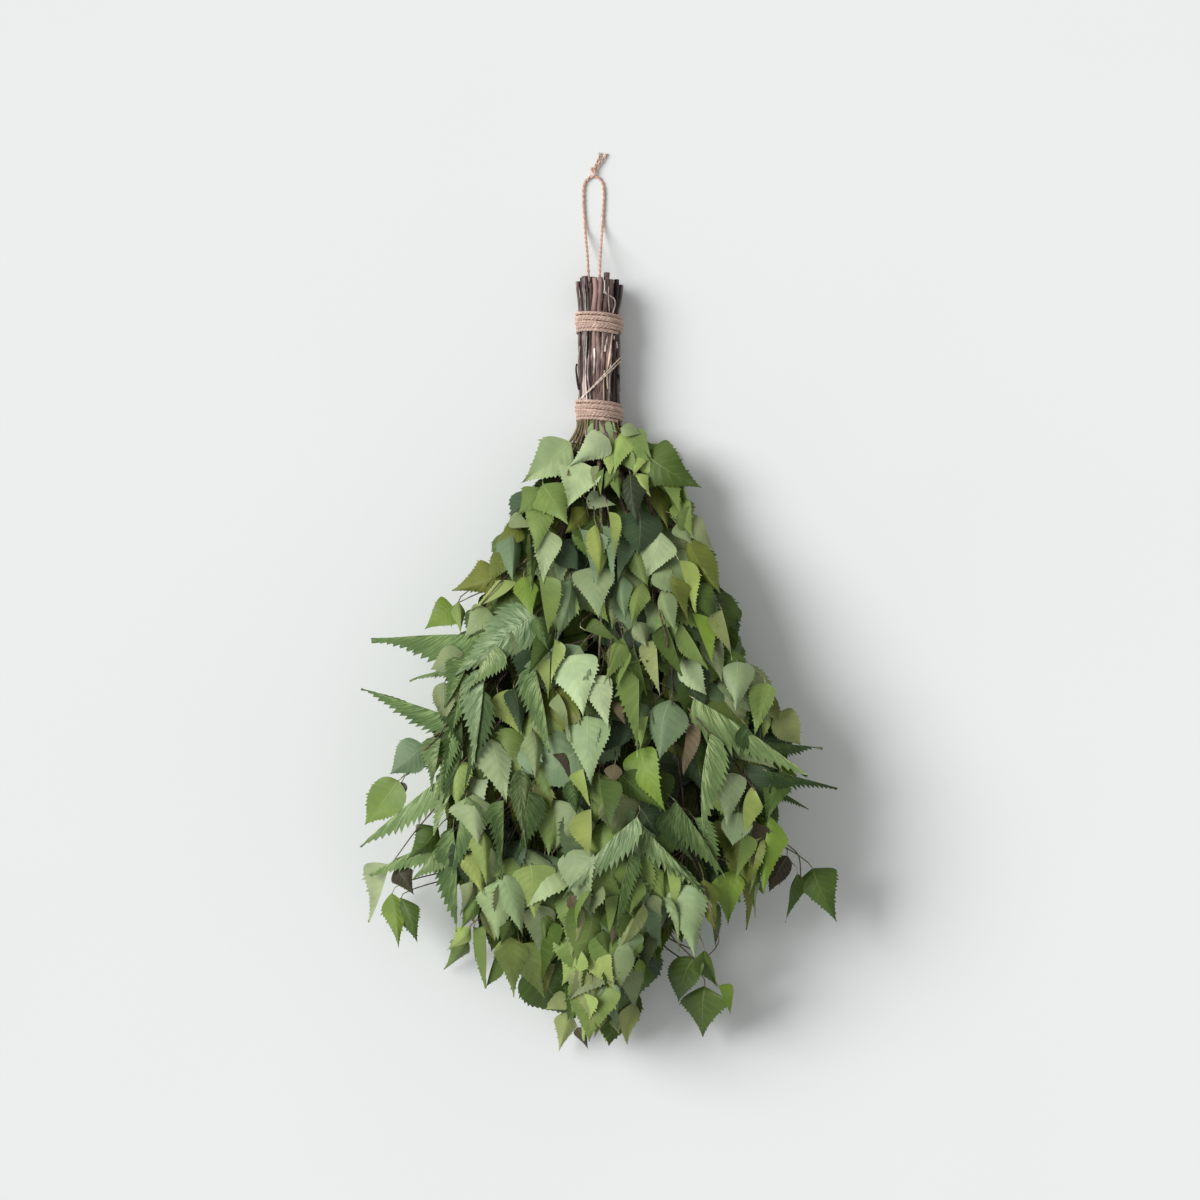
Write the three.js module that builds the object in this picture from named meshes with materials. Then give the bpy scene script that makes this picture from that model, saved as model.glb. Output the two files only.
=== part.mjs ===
// A birch bath whisk lying on a flat surface: birch branches and three nettle stalks, bound into a
// handle by two wraps of jute twine, with a cross strand between them and a hanging loop at the end.
// Millimetres. +Z is up, +Y points along the handle to its cut ends, and the leaves spread towards -Y.
// Each branch is two solids: its bare stem up to the first fork, and the leafy spray beyond it.
import * as THREE from "three";

// Driving dimensions
const HANDLE_LENGTH = 98; // from the throat, where the stems fan out, to the tallest cut end
const STEMS_RADIUS = 12.95; // of the packed stems inside the bindings
const FOLIAGE_LENGTH = 403; // from the throat to the furthest leaf tip
const FOLIAGE_HALF_WIDTH = 161;
const FOLIAGE_HEIGHT = 97;
const BINDING_TWINE = 2.0; // diameter of the twine of the bindings
const LOOP_TWINE = 1.9; // diameter of the twine of the hanging loop
const CLEARANCE = 0.3; // kept between solids that touch

// Worked out from them
const BINDING_BORE = STEMS_RADIUS + CLEARANCE;
const BINDING_RADIUS = BINDING_BORE + BINDING_TWINE;
const BINDING_FACETS = 22;
const AXIS_HEIGHT = BINDING_RADIUS * Math.cos(Math.PI / BINDING_FACETS); // the bindings lie flat

// The stems stand in three rings round the handle's axis. cell holds the share of the foliage's
// half-width over which each ring's sprays spread, and forks how far past the throat they begin.
const RINGS = [
  { count: 13, ring: 10.7, thickest: 2.24, cell: [0.68, 1.0], forks: 12, firstAngle: 90 },
  { count: 8, ring: 6.0, thickest: 2.08, cell: [0.355, 0.68], forks: 30, firstAngle: 85 },
  { count: 3, ring: 1.85, thickest: 1.4, cell: [0.05, 0.355], forks: 42, firstAngle: 30 },
];
const NETTLES = [0, 3, 10]; // their places in the outer ring
const LOOP_POCKETS = [0, 2]; // middle-ring stems cut short, with the loop's strands above them
const POCKET_DEPTH = 18;
const STEM_SIDES = 7;
const SPRAY_SIDES = 8;
const SPRAY_RINGS = 9;
const HANDLE_TWIST = THREE.MathUtils.degToRad(11); // the stems lean a little round the handle

const BARK = { color: 0x54453f, roughness: 0.85, metalness: 0 };
const NETTLE_STALK = { color: 0x6d7a4a, roughness: 0.7, metalness: 0 };
const BIRCH_LEAF = { color: 0x6f8f52, roughness: 0.75, metalness: 0 };
const NETTLE_LEAF = { color: 0x56834a, roughness: 0.8, metalness: 0 };
const JUTE = { color: 0xb08f6c, roughness: 0.95, metalness: 0 };
const LOOP_JUTE = { color: 0xc99f80, roughness: 0.95, metalness: 0 };

const { smoothstep, lerp } = THREE.MathUtils;

// A steady number from 0 to 1 for each pair, in place of chance.
function vary(index, salt) {
  const x = Math.sin(index * 12.9898 + salt * 78.233) * 43758.5453;
  return x - Math.floor(x);
}

function named(name, geometry, look) {
  const mesh = new THREE.Mesh(geometry, new THREE.MeshStandardMaterial(look));
  mesh.name = name;
  return mesh;
}

// A closed solid through rings of points. Each ring runs counter-clockwise seen from the start.
function loft(rings) {
  const sides = rings[0].length;
  const points = rings.flat();
  const faces = [];
  for (let k = 0; k + 1 < rings.length; k++) {
    for (let j = 0; j < sides; j++) {
      const a = k * sides + j;
      const b = k * sides + ((j + 1) % sides);
      faces.push(a, b, b + sides, a, b + sides, a + sides);
    }
  }
  const last = points.length - sides;
  for (let j = 1; j + 1 < sides; j++) {
    faces.push(0, j + 1, j, last, last + j, last + j + 1);
  }
  return new THREE.BufferGeometry().setFromPoints(points).setIndex(faces);
}

// ---- The fan that the handle opens into, at a distance s past the throat ----

const spreadStart = (s) => (s * s) / (s + 14); // the stems leave the handle smoothly

function stemFan(s) {
  const t = spreadStart(Math.max(0, s));
  return {
    halfWidth: STEMS_RADIUS + 0.5 * t,
    halfHeight: STEMS_RADIUS + 0.2 * t,
    middle: AXIS_HEIGHT + 0.19 * t,
  };
}

const LEAF_RUFF = 16; // how far the first leaves stand out round the throat
const FULL_WIDTH_AT = 300;
const FULL_HEIGHT_AT = 220;
const TIP_HEIGHT = 50; // of the foliage's top at the furthest tip
const SINK = 12; // how far the lowest leaves are pressed flat by the surface

function foliageFan(s) {
  const opening = Math.sin((Math.PI / 2) * Math.min(1, s / FULL_WIDTH_AT));
  const handle = STEMS_RADIUS + 1;
  const ruff = LEAF_RUFF * (1 - Math.exp(-s / 8));
  const halfWidth = handle + ruff + (FOLIAGE_HALF_WIDTH - handle - LEAF_RUFF) * opening;

  const rise = Math.sin((Math.PI / 2) * Math.min(1, s / FULL_HEIGHT_AT));
  const fall = Math.max(0, s - FULL_HEIGHT_AT) / (FOLIAGE_LENGTH - FULL_HEIGHT_AT);
  const throatTop = AXIS_HEIGHT + STEMS_RADIUS;
  const top =
    throatTop + (FOLIAGE_HEIGHT - throatTop) * rise - (FOLIAGE_HEIGHT - TIP_HEIGHT) * fall ** 2;
  const pressed = smoothstep(s, 0, 120) * (1 - smoothstep(s, 280, FOLIAGE_LENGTH));
  const bottom = AXIS_HEIGHT - STEMS_RADIUS - SINK * pressed;
  return { halfWidth, halfHeight: (top - bottom) / 2, middle: (top + bottom) / 2 };
}

// A point of the fan: across and up are shares of its half-width and half-height.
function fanPoint(fan, across, up, s) {
  const z = Math.max(0, fan.middle + up * fan.halfHeight);
  return new THREE.Vector3(across * fan.halfWidth, -s, z);
}

// ---- Branches ----

function placeOf(ring, i) {
  const angle = THREE.MathUtils.degToRad(ring.firstAngle) + (i * 2 * Math.PI) / ring.count;
  return { angle, across: Math.cos(angle), up: Math.sin(angle) };
}

// The handle is a little wider at its cut ends than inside the bindings.
function handleSpread(y) {
  return 1 + 0.13 * smoothstep(y, 74, HANDLE_LENGTH);
}

function stemRing(ring, place, y, radius) {
  const points = [];
  const share = ring.ring / STEMS_RADIUS;
  const angle = place.angle + (HANDLE_TWIST * Math.max(0, y)) / HANDLE_LENGTH;
  const fan = stemFan(-y);
  const spread = y > 0 ? handleSpread(y) : 1;
  const x = Math.cos(angle) * share * spread * fan.halfWidth;
  const z = fan.middle + Math.sin(angle) * share * spread * fan.halfHeight;
  for (let j = 0; j < STEM_SIDES; j++) {
    const turn = (j * 2 * Math.PI) / STEM_SIDES + place.angle;
    points.push(new THREE.Vector3(x + radius * Math.cos(turn), y, z + radius * Math.sin(turn)));
  }
  return points;
}

const STEM_STATIONS = [87, 74, 52, 30, 14, 2, -6, -14, -22, -30]; // along Y

function stem(ring, place, radius, top, end) {
  const between = STEM_STATIONS.filter((y) => y < top - 3 && y > end + 3);
  return loft([top, ...between, end].map((y) => stemRing(ring, place, y, radius)));
}

// Rounds a circle's sine or cosine towards a square's, so that neighbouring sprays fill the fan.
const squared = (x) => Math.sign(x) * Math.abs(x) ** 0.7;

const BLEND_LENGTH = 45; // over which a spray grows from its stem to its full section

function sprayRing(ring, place, radius, s, start, size) {
  const [inner, outer] = ring.cell;
  const fan = foliageFan(s);
  const neck = stemFan(s);
  const share = ring.ring / STEMS_RADIUS;
  const middle = fanPoint(neck, place.across * share, place.up * share, s);
  const full = smoothstep(s, start, start + BLEND_LENGTH);
  const depth = ((outer - inner) / 2) * size;
  const turn = (Math.PI / ring.count) * size;
  const points = [];
  for (let j = 0; j < SPRAY_SIDES; j++) {
    const around = ((j + 0.5) * 2 * Math.PI) / SPRAY_SIDES;
    const out = Math.cos(around);
    const side = Math.sin(around);
    const r = (inner + outer) / 2 + depth * squared(out);
    const angle = place.angle + turn * squared(side);
    const wide = fanPoint(fan, r * Math.cos(angle), r * Math.sin(angle), s);
    const narrow = new THREE.Vector3(
      middle.x + radius * (out * place.across - side * place.up),
      -s,
      middle.z + radius * (out * place.up + side * place.across),
    );
    points.push(narrow.lerp(wide, full));
  }
  return points;
}

// The middle branches reach furthest, and those at the sides end sooner.
function reach(place, ring, index) {
  const across = Math.abs(place.across) * ring.cell[1];
  const shorter = 92 * across ** 1.6 + 16 * vary(index, 5) * (across > 0.25 ? 1 : 0);
  return FOLIAGE_LENGTH - shorter;
}

function spray(ring, place, radius, start, end, index) {
  const rings = [];
  for (let k = 0; k <= SPRAY_RINGS; k++) {
    const t = k / SPRAY_RINGS;
    const s = start + (end - start) * t ** 1.1;
    const tufts = k === 0 ? 1 : 0.84 + 0.12 * vary(index, 20 + k);
    const tip = 1 - 0.6 * smoothstep(t, 0.78, 1);
    rings.push(sprayRing(ring, place, radius, s, start, tufts * tip));
  }
  return loft(rings);
}

function branches() {
  const made = [];
  let birch = 0;
  let nettle = 0;
  RINGS.forEach((ring, level) => {
    for (let i = 0; i < ring.count; i++) {
      const index = level * 20 + i;
      const place = placeOf(ring, i);
      const isNettle = level === 0 && NETTLES.includes(i);
      const isShort = level === 1 && LOOP_POCKETS.includes(i);
      const number = String(isNettle ? ++nettle : ++birch).padStart(2, "0");
      const kind = isNettle ? "nettle" : "birch";
      const radius = ring.thickest * (0.86 + 0.14 * vary(index, 1));
      const top = HANDLE_LENGTH - (isShort ? POCKET_DEPTH : 8 * vary(index, 2));
      const start = ring.forks + 4 * vary(index, 3);
      const end = reach(place, ring, index);
      made.push(
        named(
          `${kind}_stem_${number}`,
          stem(ring, place, radius, top, -(start - CLEARANCE)),
          isNettle ? NETTLE_STALK : BARK,
        ),
        named(
          `${kind}_spray_${number}`,
          spray(ring, place, radius, start, end, index),
          isNettle ? NETTLE_LEAF : BIRCH_LEAF,
        ),
      );
    }
  });
  return made;
}

// ---- Twine ----

const BINDING_TURNS = 6;
const BINDING_PITCH = BINDING_TWINE * 1.06;
const BINDING_HEIGHT = BINDING_TURNS * BINDING_PITCH;
const GROOVE = 0.6; // between one turn and the next

// A wrap of twine round the handle, as a ring with one ridge for each turn.
function binding(low) {
  const profile = [new THREE.Vector2(BINDING_BORE, 0)];
  for (let i = 0; i < BINDING_TURNS; i++) {
    profile.push(new THREE.Vector2(BINDING_RADIUS - GROOVE, i * BINDING_PITCH));
    profile.push(new THREE.Vector2(BINDING_RADIUS, (i + 0.3) * BINDING_PITCH));
    profile.push(new THREE.Vector2(BINDING_RADIUS, (i + 0.7) * BINDING_PITCH));
  }
  profile.push(new THREE.Vector2(BINDING_RADIUS - GROOVE, BINDING_HEIGHT));
  profile.push(new THREE.Vector2(BINDING_BORE, BINDING_HEIGHT));
  profile.push(profile[0].clone());
  const ring = new THREE.LatheGeometry(profile, BINDING_FACETS);
  return ring.rotateY(Math.PI / BINDING_FACETS).translate(0, low, AXIS_HEIGHT);
}

// A closed tube along a curve.
function tube(curve, radius, sides, steps) {
  const section = new THREE.Shape();
  for (let j = 0; j < sides; j++) {
    const turn = (j * 2 * Math.PI) / sides;
    const at = [radius * Math.cos(turn), radius * Math.sin(turn)];
    if (j === 0) section.moveTo(...at);
    else section.lineTo(...at);
  }
  return new THREE.ExtrudeGeometry(section, { steps, extrudePath: curve, bevelEnabled: false });
}

const LOWER_BINDING_Y = 2.4;
const UPPER_BINDING_Y = 59.4;
const CROSS_TWINE_RADIUS = 0.8;

// The strand that climbs round the handle from one binding to the other.
class CrossStrand extends THREE.Curve {
  getPoint(t) {
    const around = STEMS_RADIUS + CLEARANCE + CROSS_TWINE_RADIUS;
    const angle = THREE.MathUtils.degToRad(lerp(176, -62, t));
    const low = LOWER_BINDING_Y + BINDING_HEIGHT + CLEARANCE + CROSS_TWINE_RADIUS;
    const high = UPPER_BINDING_Y - CLEARANCE - CROSS_TWINE_RADIUS;
    return new THREE.Vector3(
      around * Math.cos(angle),
      lerp(low, high, t),
      AXIS_HEIGHT + around * Math.sin(angle),
    );
  }
}

// The hanging loop's route, from one strand's foot between the stems to the other's. It comes
// straight out of the handle, sags to the surface and lies there with its knot at the far end.
const LOOP_FEET_Y = HANDLE_LENGTH - POCKET_DEPTH + CLEARANCE;
const LOOP_ROUTE = [
  [-6.6, LOOP_FEET_Y, 14.6],
  [-6.7, 90, 14.6],
  [-6.9, 99, 14.5],
  [-7.2, 105, 13.6],
  [-7.6, 111, 11.2],
  [-8.1, 117, 7.9],
  [-8.6, 123, 4.6],
  [-9.1, 129, 2.1],
  [-9.5, 136, 1.05],
  [-9.9, 144, 0.98],
  [-10.2, 152, 0.98],
  [-9.4, 158.6, 0.98],
  [-6.6, 162.6, 0.98],
  [-3.4, 164, 0.98],
  [-0.2, 162.8, 0.98],
  [2.3, 159, 0.98],
  [3.2, 153, 0.98],
  [3.0, 145, 0.98],
  [2.6, 137, 1.05],
  [2.1, 130, 2.3],
  [1.6, 124, 5.3],
  [1.2, 118, 9.4],
  [0.9, 112, 13.9],
  [0.6, 106, 17.6],
  [0.4, 99, 20.0],
  [0.1, 90, 20.6],
  [-0.2, LOOP_FEET_Y, 20.8],
].map(([x, y, z]) => new THREE.Vector3(x, y, z));
const KNOT = { x: -3.4, y: 167.6, z: 2.3, radius: 2.3 };
const TAILS = { loop_tail_left: [-2.6, 8.5], loop_tail_right: [4.4, 8.2] };

function knot() {
  const ball = new THREE.SphereGeometry(KNOT.radius, 9, 6);
  return ball.translate(KNOT.x, KNOT.y, KNOT.z);
}

function tail([across, along]) {
  const direction = new THREE.Vector3(across, along, -1.1).normalize();
  const centre = new THREE.Vector3(KNOT.x, KNOT.y, KNOT.z);
  const start = centre.clone().addScaledVector(direction, KNOT.radius + CLEARANCE);
  const end = start.clone().add(new THREE.Vector3(across, along, -1.1));
  return tube(new THREE.LineCurve3(start, end), LOOP_TWINE / 2.2, 6, 1);
}

function twine() {
  const route = new THREE.CatmullRomCurve3(LOOP_ROUTE, false, "centripetal");
  return [
    named("lower_binding", binding(LOWER_BINDING_Y), JUTE),
    named("upper_binding", binding(UPPER_BINDING_Y), JUTE),
    named("cross_twine", tube(new CrossStrand(), CROSS_TWINE_RADIUS, 6, 26), JUTE),
    named("hanging_loop", tube(route, LOOP_TWINE / 2, 8, 48), LOOP_JUTE),
    named("loop_knot", knot(), LOOP_JUTE),
    ...Object.entries(TAILS).map(([name, way]) => named(name, tail(way), LOOP_JUTE)),
  ];
}

// The origin is on the surface, under the middle of the branches.
const plants = new THREE.Group();
plants.add(...branches());
const middle = new THREE.Box3().setFromObject(plants).getCenter(new THREE.Vector3());

const whisk = new THREE.Group();
whisk.add(plants, ...twine());
whisk.position.set(-middle.x, -middle.y, 0);

export default whisk;
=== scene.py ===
"""A birch bath whisk lying on a pale surface, seen from straight above.

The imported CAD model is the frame. Its stems, sprays and twine are replaced here by bark, twigs,
leaves and plied twine. Shapes are worked out in millimetres and become metres in add_piece(). A
place is given as across (from the handle's axis), past (the throat, towards the leaf tips) and up.
"""

import math

import bpy
import numpy as np
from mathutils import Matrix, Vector
from mathutils.bvhtree import BVHTree


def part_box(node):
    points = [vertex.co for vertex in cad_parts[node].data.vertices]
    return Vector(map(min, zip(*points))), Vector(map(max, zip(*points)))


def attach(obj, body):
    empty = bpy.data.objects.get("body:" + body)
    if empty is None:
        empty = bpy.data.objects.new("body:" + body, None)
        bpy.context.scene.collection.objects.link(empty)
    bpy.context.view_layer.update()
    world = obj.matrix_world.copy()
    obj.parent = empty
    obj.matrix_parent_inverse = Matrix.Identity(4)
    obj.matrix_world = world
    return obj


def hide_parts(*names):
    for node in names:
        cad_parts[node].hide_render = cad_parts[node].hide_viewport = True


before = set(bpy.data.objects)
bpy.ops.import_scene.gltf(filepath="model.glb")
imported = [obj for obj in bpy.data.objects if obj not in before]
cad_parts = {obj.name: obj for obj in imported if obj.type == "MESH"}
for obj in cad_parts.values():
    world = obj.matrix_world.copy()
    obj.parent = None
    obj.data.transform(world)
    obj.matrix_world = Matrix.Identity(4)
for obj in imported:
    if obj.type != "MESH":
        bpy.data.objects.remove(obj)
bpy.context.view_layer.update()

MM = 0.001
THROAT_GAP = 2.4  # between the throat and the lower binding
LOW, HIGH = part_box("lower_binding")
AXIS_X = (LOW.x + HIGH.x) / 2 / MM
AXIS_UP = (LOW.z + HIGH.z) / 2 / MM
THROAT_Y = LOW.y / MM - THROAT_GAP
BINDING_RADIUS = (HIGH.x - LOW.x) / 2 / MM

chance = np.random.default_rng(11)


def spot(across, past, up):
    """A place in the CAD model's frame, in millimetres."""
    return np.array([AXIS_X + across, THROAT_Y - past, up], float)


def round_handle(radius, angle, y):
    """Places round the handle's axis. y runs from the throat towards the cut ends."""
    return np.stack(
        [AXIS_X + radius * np.cos(angle), THROAT_Y + y, AXIS_UP + radius * np.sin(angle)], axis=1
    )


def smoothstep(x, low, high):
    t = np.clip((x - low) / (high - low), 0, 1)
    return t * t * (3 - 2 * t)


def linear(red, green, blue):
    """A display colour, 0 to 255, as scene-linear numbers."""
    c = np.array([red, green, blue], float) / 255
    return np.where(c <= 0.04045, c / 12.92, ((c + 0.055) / 1.055) ** 2.4)


# ---- Camera ----

VIEW_WIDTH = 768  # of the picture, at the height of the middle of the leaves
VIEW_ACROSS, VIEW_PAST = 0.6, 112  # the picture's centre, from the handle's axis and the throat
VIEW_HEIGHT = 45
CAMERA_DISTANCE = 2600
SENSOR = 36


def add_camera():
    """The camera looks straight down, so it needs no turn."""
    data = bpy.data.cameras.new("camera")
    data.sensor_width = SENSOR
    data.lens = SENSOR * CAMERA_DISTANCE / VIEW_WIDTH
    camera = bpy.data.objects.new("camera", data)
    camera.location = Vector(spot(VIEW_ACROSS, VIEW_PAST, VIEW_HEIGHT + CAMERA_DISTANCE)) * MM
    bpy.context.scene.collection.objects.link(camera)
    bpy.context.scene.camera = camera


# ---- Meshes ----

PRESSED = 0.05  # nothing lies lower than this above the surface
SHARP = math.radians(80)  # edges that turn more than this aren't smoothed


def add_piece(name, node, shape, material):
    """An object that stands for a CAD node, from a shape in millimetres."""
    points, triangles, uv, colours = shape
    mesh = bpy.data.meshes.new(name)
    mesh.vertices.add(len(points))
    above = np.maximum(points, [-np.inf, -np.inf, PRESSED])
    mesh.vertices.foreach_set("co", (above * MM).astype(np.float32).ravel())
    corners = np.asarray(triangles, np.int32)
    mesh.loops.add(corners.size)
    mesh.loops.foreach_set("vertex_index", corners.ravel())
    mesh.polygons.add(len(corners))
    mesh.polygons.foreach_set("loop_start", np.arange(0, corners.size, 3, dtype=np.int32))
    mesh.update(calc_edges=True)
    mesh.shade_smooth()
    mesh.set_sharp_from_angle(angle=SHARP)
    layer = mesh.uv_layers.new(name="UVMap")
    layer.data.foreach_set("uv", np.asarray(uv, np.float32)[corners.ravel()].ravel())
    tint = mesh.attributes.new("tint", "FLOAT_COLOR", "POINT")
    rgba = np.concatenate([colours, np.ones((len(colours), 1))], axis=1)
    tint.data.foreach_set("color", rgba.astype(np.float32).ravel())
    mesh.materials.append(material)
    piece = bpy.data.objects.new(name, mesh)
    bpy.context.scene.collection.objects.link(piece)
    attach(piece, "root")
    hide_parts(node)
    return piece


def joined(shapes):
    """Several shapes, each (points, triangles, uv, colours), as one."""
    points, triangles, uv, colours = [], [], [], []
    count = 0
    for shape in shapes:
        points.append(shape[0])
        triangles.append(shape[1] + count)
        uv.append(shape[2])
        colours.append(shape[3])
        count += len(shape[0])
    return tuple(np.concatenate(parts) for parts in (points, triangles, uv, colours))


def unit(v):
    return v / np.maximum(np.linalg.norm(v, axis=-1, keepdims=True), 1e-9)


def length_along(path):
    return np.concatenate([[0], np.cumsum(np.linalg.norm(np.diff(path, axis=0), axis=1))])


def frames_along(path):
    """The direction of a path at each point, and two directions square to it that don't spin."""
    ahead = unit(np.gradient(path, axis=0))
    side = np.empty_like(ahead)
    start = np.cross(ahead[0], [0.0, 0.0, 1.0])
    if np.linalg.norm(start) < 0.1:
        start = np.cross(ahead[0], [1.0, 0.0, 0.0])
    side[0] = unit(start)
    for i in range(1, len(path)):
        flat = side[i - 1] - ahead[i] * (side[i - 1] @ ahead[i])
        side[i] = unit(flat)
    return ahead, side, np.cross(side, ahead)


def rings_along(path, sides):
    """The directions, at each point of a path, from the path to the sides of a tube round it."""
    _, side, over = frames_along(path)
    turn = np.arange(sides) * 2 * np.pi / sides
    return side[:, None] * np.cos(turn)[None, :, None] + over[:, None] * np.sin(turn)[None, :, None]


def tube(path, radius, sides, colour, swell=None):
    """A closed tube. radius and colour may change along it, and swell and colour round it."""
    path = np.asarray(path, float)
    count = len(path)
    ring = rings_along(path, sides)
    r = np.broadcast_to(np.asarray(radius, float).reshape(-1, 1), (count, sides))
    if swell is not None:
        r = r * swell
    points = (path[:, None] + ring * r[:, :, None]).reshape(-1, 3)
    points = np.concatenate([points, path[:1], path[-1:]])
    k, j = np.meshgrid(np.arange(count - 1), np.arange(sides), indexing="ij")
    a, b = (k * sides + j).ravel(), (k * sides + (j + 1) % sides).ravel()
    walls = np.concatenate([np.stack([a, b, b + sides], 1), np.stack([a, b + sides, a + sides], 1)])
    j = np.arange(sides)
    ends = [count * sides, count * sides + 1]
    first = np.stack([np.full(sides, ends[0]), (j + 1) % sides, j], 1)
    last = (count - 1) * sides
    final = np.stack([np.full(sides, ends[1]), last + j, last + (j + 1) % sides], 1)
    along = length_along(path)
    uv = np.stack(np.broadcast_arrays(np.arange(sides)[None] / sides, along[:, None] / 10), -1)
    uv = np.concatenate([uv.reshape(-1, 2), [[0.5, 0]], [[0.5, along[-1] / 10]]])
    tint = np.asarray(colour, float)
    if tint.ndim == 2:
        tint = tint[:, None]
    tint = np.broadcast_to(tint, (count, sides, 3))
    tints = np.concatenate([tint.reshape(-1, 3), tint[0, :1], tint[-1, :1]])
    return points, np.concatenate([walls, first, final]), uv, tints


def blend(first, second, start, end, at):
    """A point that moves from first, at start, to second, at end."""
    return (end - at) / (end - start) * first + (at - start) / (end - start) * second


def through(points, step):
    """A smooth curve through a few points, with a point about every step."""
    points = np.asarray(points, float)
    padded = np.concatenate([2 * points[:1] - points[1:2], points, 2 * points[-1:] - points[-2:-1]])
    gaps = np.sqrt(np.maximum(np.linalg.norm(np.diff(padded, axis=0), axis=1), 1e-6))
    knots = np.concatenate([[0], np.cumsum(gaps)])
    curve = []
    for i in range(1, len(padded) - 2):
        p, t = padded[i - 1 : i + 3], knots[i - 1 : i + 3]
        count = max(2, math.ceil(np.linalg.norm(p[2] - p[1]) / step))
        at = np.linspace(t[1], t[2], count, endpoint=False)[:, None]
        a1, a2, a3 = (blend(p[k], p[k + 1], t[k], t[k + 1], at) for k in range(3))
        b1, b2 = blend(a1, a2, t[0], t[2], at), blend(a2, a3, t[1], t[3], at)
        curve.append(blend(b1, b2, t[1], t[2], at))
    return np.concatenate([*curve, points[-1:]])


# ---- Materials ----


class Nodes:
    """A few words for building a material."""

    def __init__(self, name):
        self.material = bpy.data.materials.new(name)
        self.material.use_nodes = True
        self.tree = self.material.node_tree
        self.shader = self.tree.nodes["Principled BSDF"]

    def add(self, kind, **settings):
        node = self.tree.nodes.new(kind)
        for key, value in settings.items():
            setattr(node, key, value)
        return node

    def feed(self, socket, value):
        if isinstance(value, bpy.types.NodeSocket):
            self.tree.links.new(value, socket)
        elif isinstance(value, (tuple, list, np.ndarray)) and len(socket.default_value) == 4:
            socket.default_value = (*[float(x) for x in value[:3]], 1.0)
        else:
            socket.default_value = value

    def math(self, operation, *values):
        node = self.add("ShaderNodeMath", operation=operation)
        for socket, value in zip(node.inputs, values):
            self.feed(socket, value)
        return node.outputs[0]

    def stretch(self, value, low, high, to_low=0.0, to_high=1.0):
        node = self.add("ShaderNodeMapRange", interpolation_type="SMOOTHSTEP")
        for socket, given in zip(node.inputs, (value, low, high, to_low, to_high)):
            self.feed(socket, given)
        return node.outputs[0]

    def mix(self, share, first, second, blend="MIX"):
        node = self.add("ShaderNodeMix", data_type="RGBA", blend_type=blend)
        self.feed(node.inputs[0], share)
        self.feed(node.inputs[6], first)
        self.feed(node.inputs[7], second)
        return node.outputs[2]

    def times(self, colour, red, green, blue):
        return self.mix(1.0, colour, (red, green, blue, 1), "MULTIPLY")

    def tint(self):
        """The colour that each point of a mesh carries."""
        return self.add("ShaderNodeAttribute", attribute_name="tint").outputs["Color"]

    def uv(self):
        return self.add("ShaderNodeTexCoord").outputs["UV"]

    def scaled(self, where, scale):
        mapping = self.add("ShaderNodeMapping")
        self.feed(mapping.inputs["Vector"], where)
        mapping.inputs["Scale"].default_value = scale
        return mapping.outputs[0]

    def place(self, scale=(1, 1, 1)):
        """The object's own coordinates, stretched."""
        return self.scaled(self.add("ShaderNodeTexCoord").outputs["Object"], scale)

    def noise(self, where, scale, detail=3.0, rough=0.55):
        node = self.add("ShaderNodeTexNoise")
        self.feed(node.inputs["Vector"], where)
        node.inputs["Scale"].default_value = scale
        node.inputs["Detail"].default_value = detail
        node.inputs["Roughness"].default_value = rough
        return node.outputs["Fac"]

    def bump(self, height, distance, strength=1.0, normal=None):
        node = self.add("ShaderNodeBump")
        self.feed(node.inputs["Height"], height)
        node.inputs["Distance"].default_value = distance
        node.inputs["Strength"].default_value = strength
        if normal is not None:
            self.feed(node.inputs["Normal"], normal)
        return node.outputs[0]

    def finish(self, colour, roughness, normal, specular=0.4):
        self.feed(self.shader.inputs["Base Color"], colour)
        self.feed(self.shader.inputs["Roughness"], roughness)
        self.feed(self.shader.inputs["Normal"], normal)
        self.shader.inputs["Specular IOR Level"].default_value = specular
        return self.material


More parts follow.
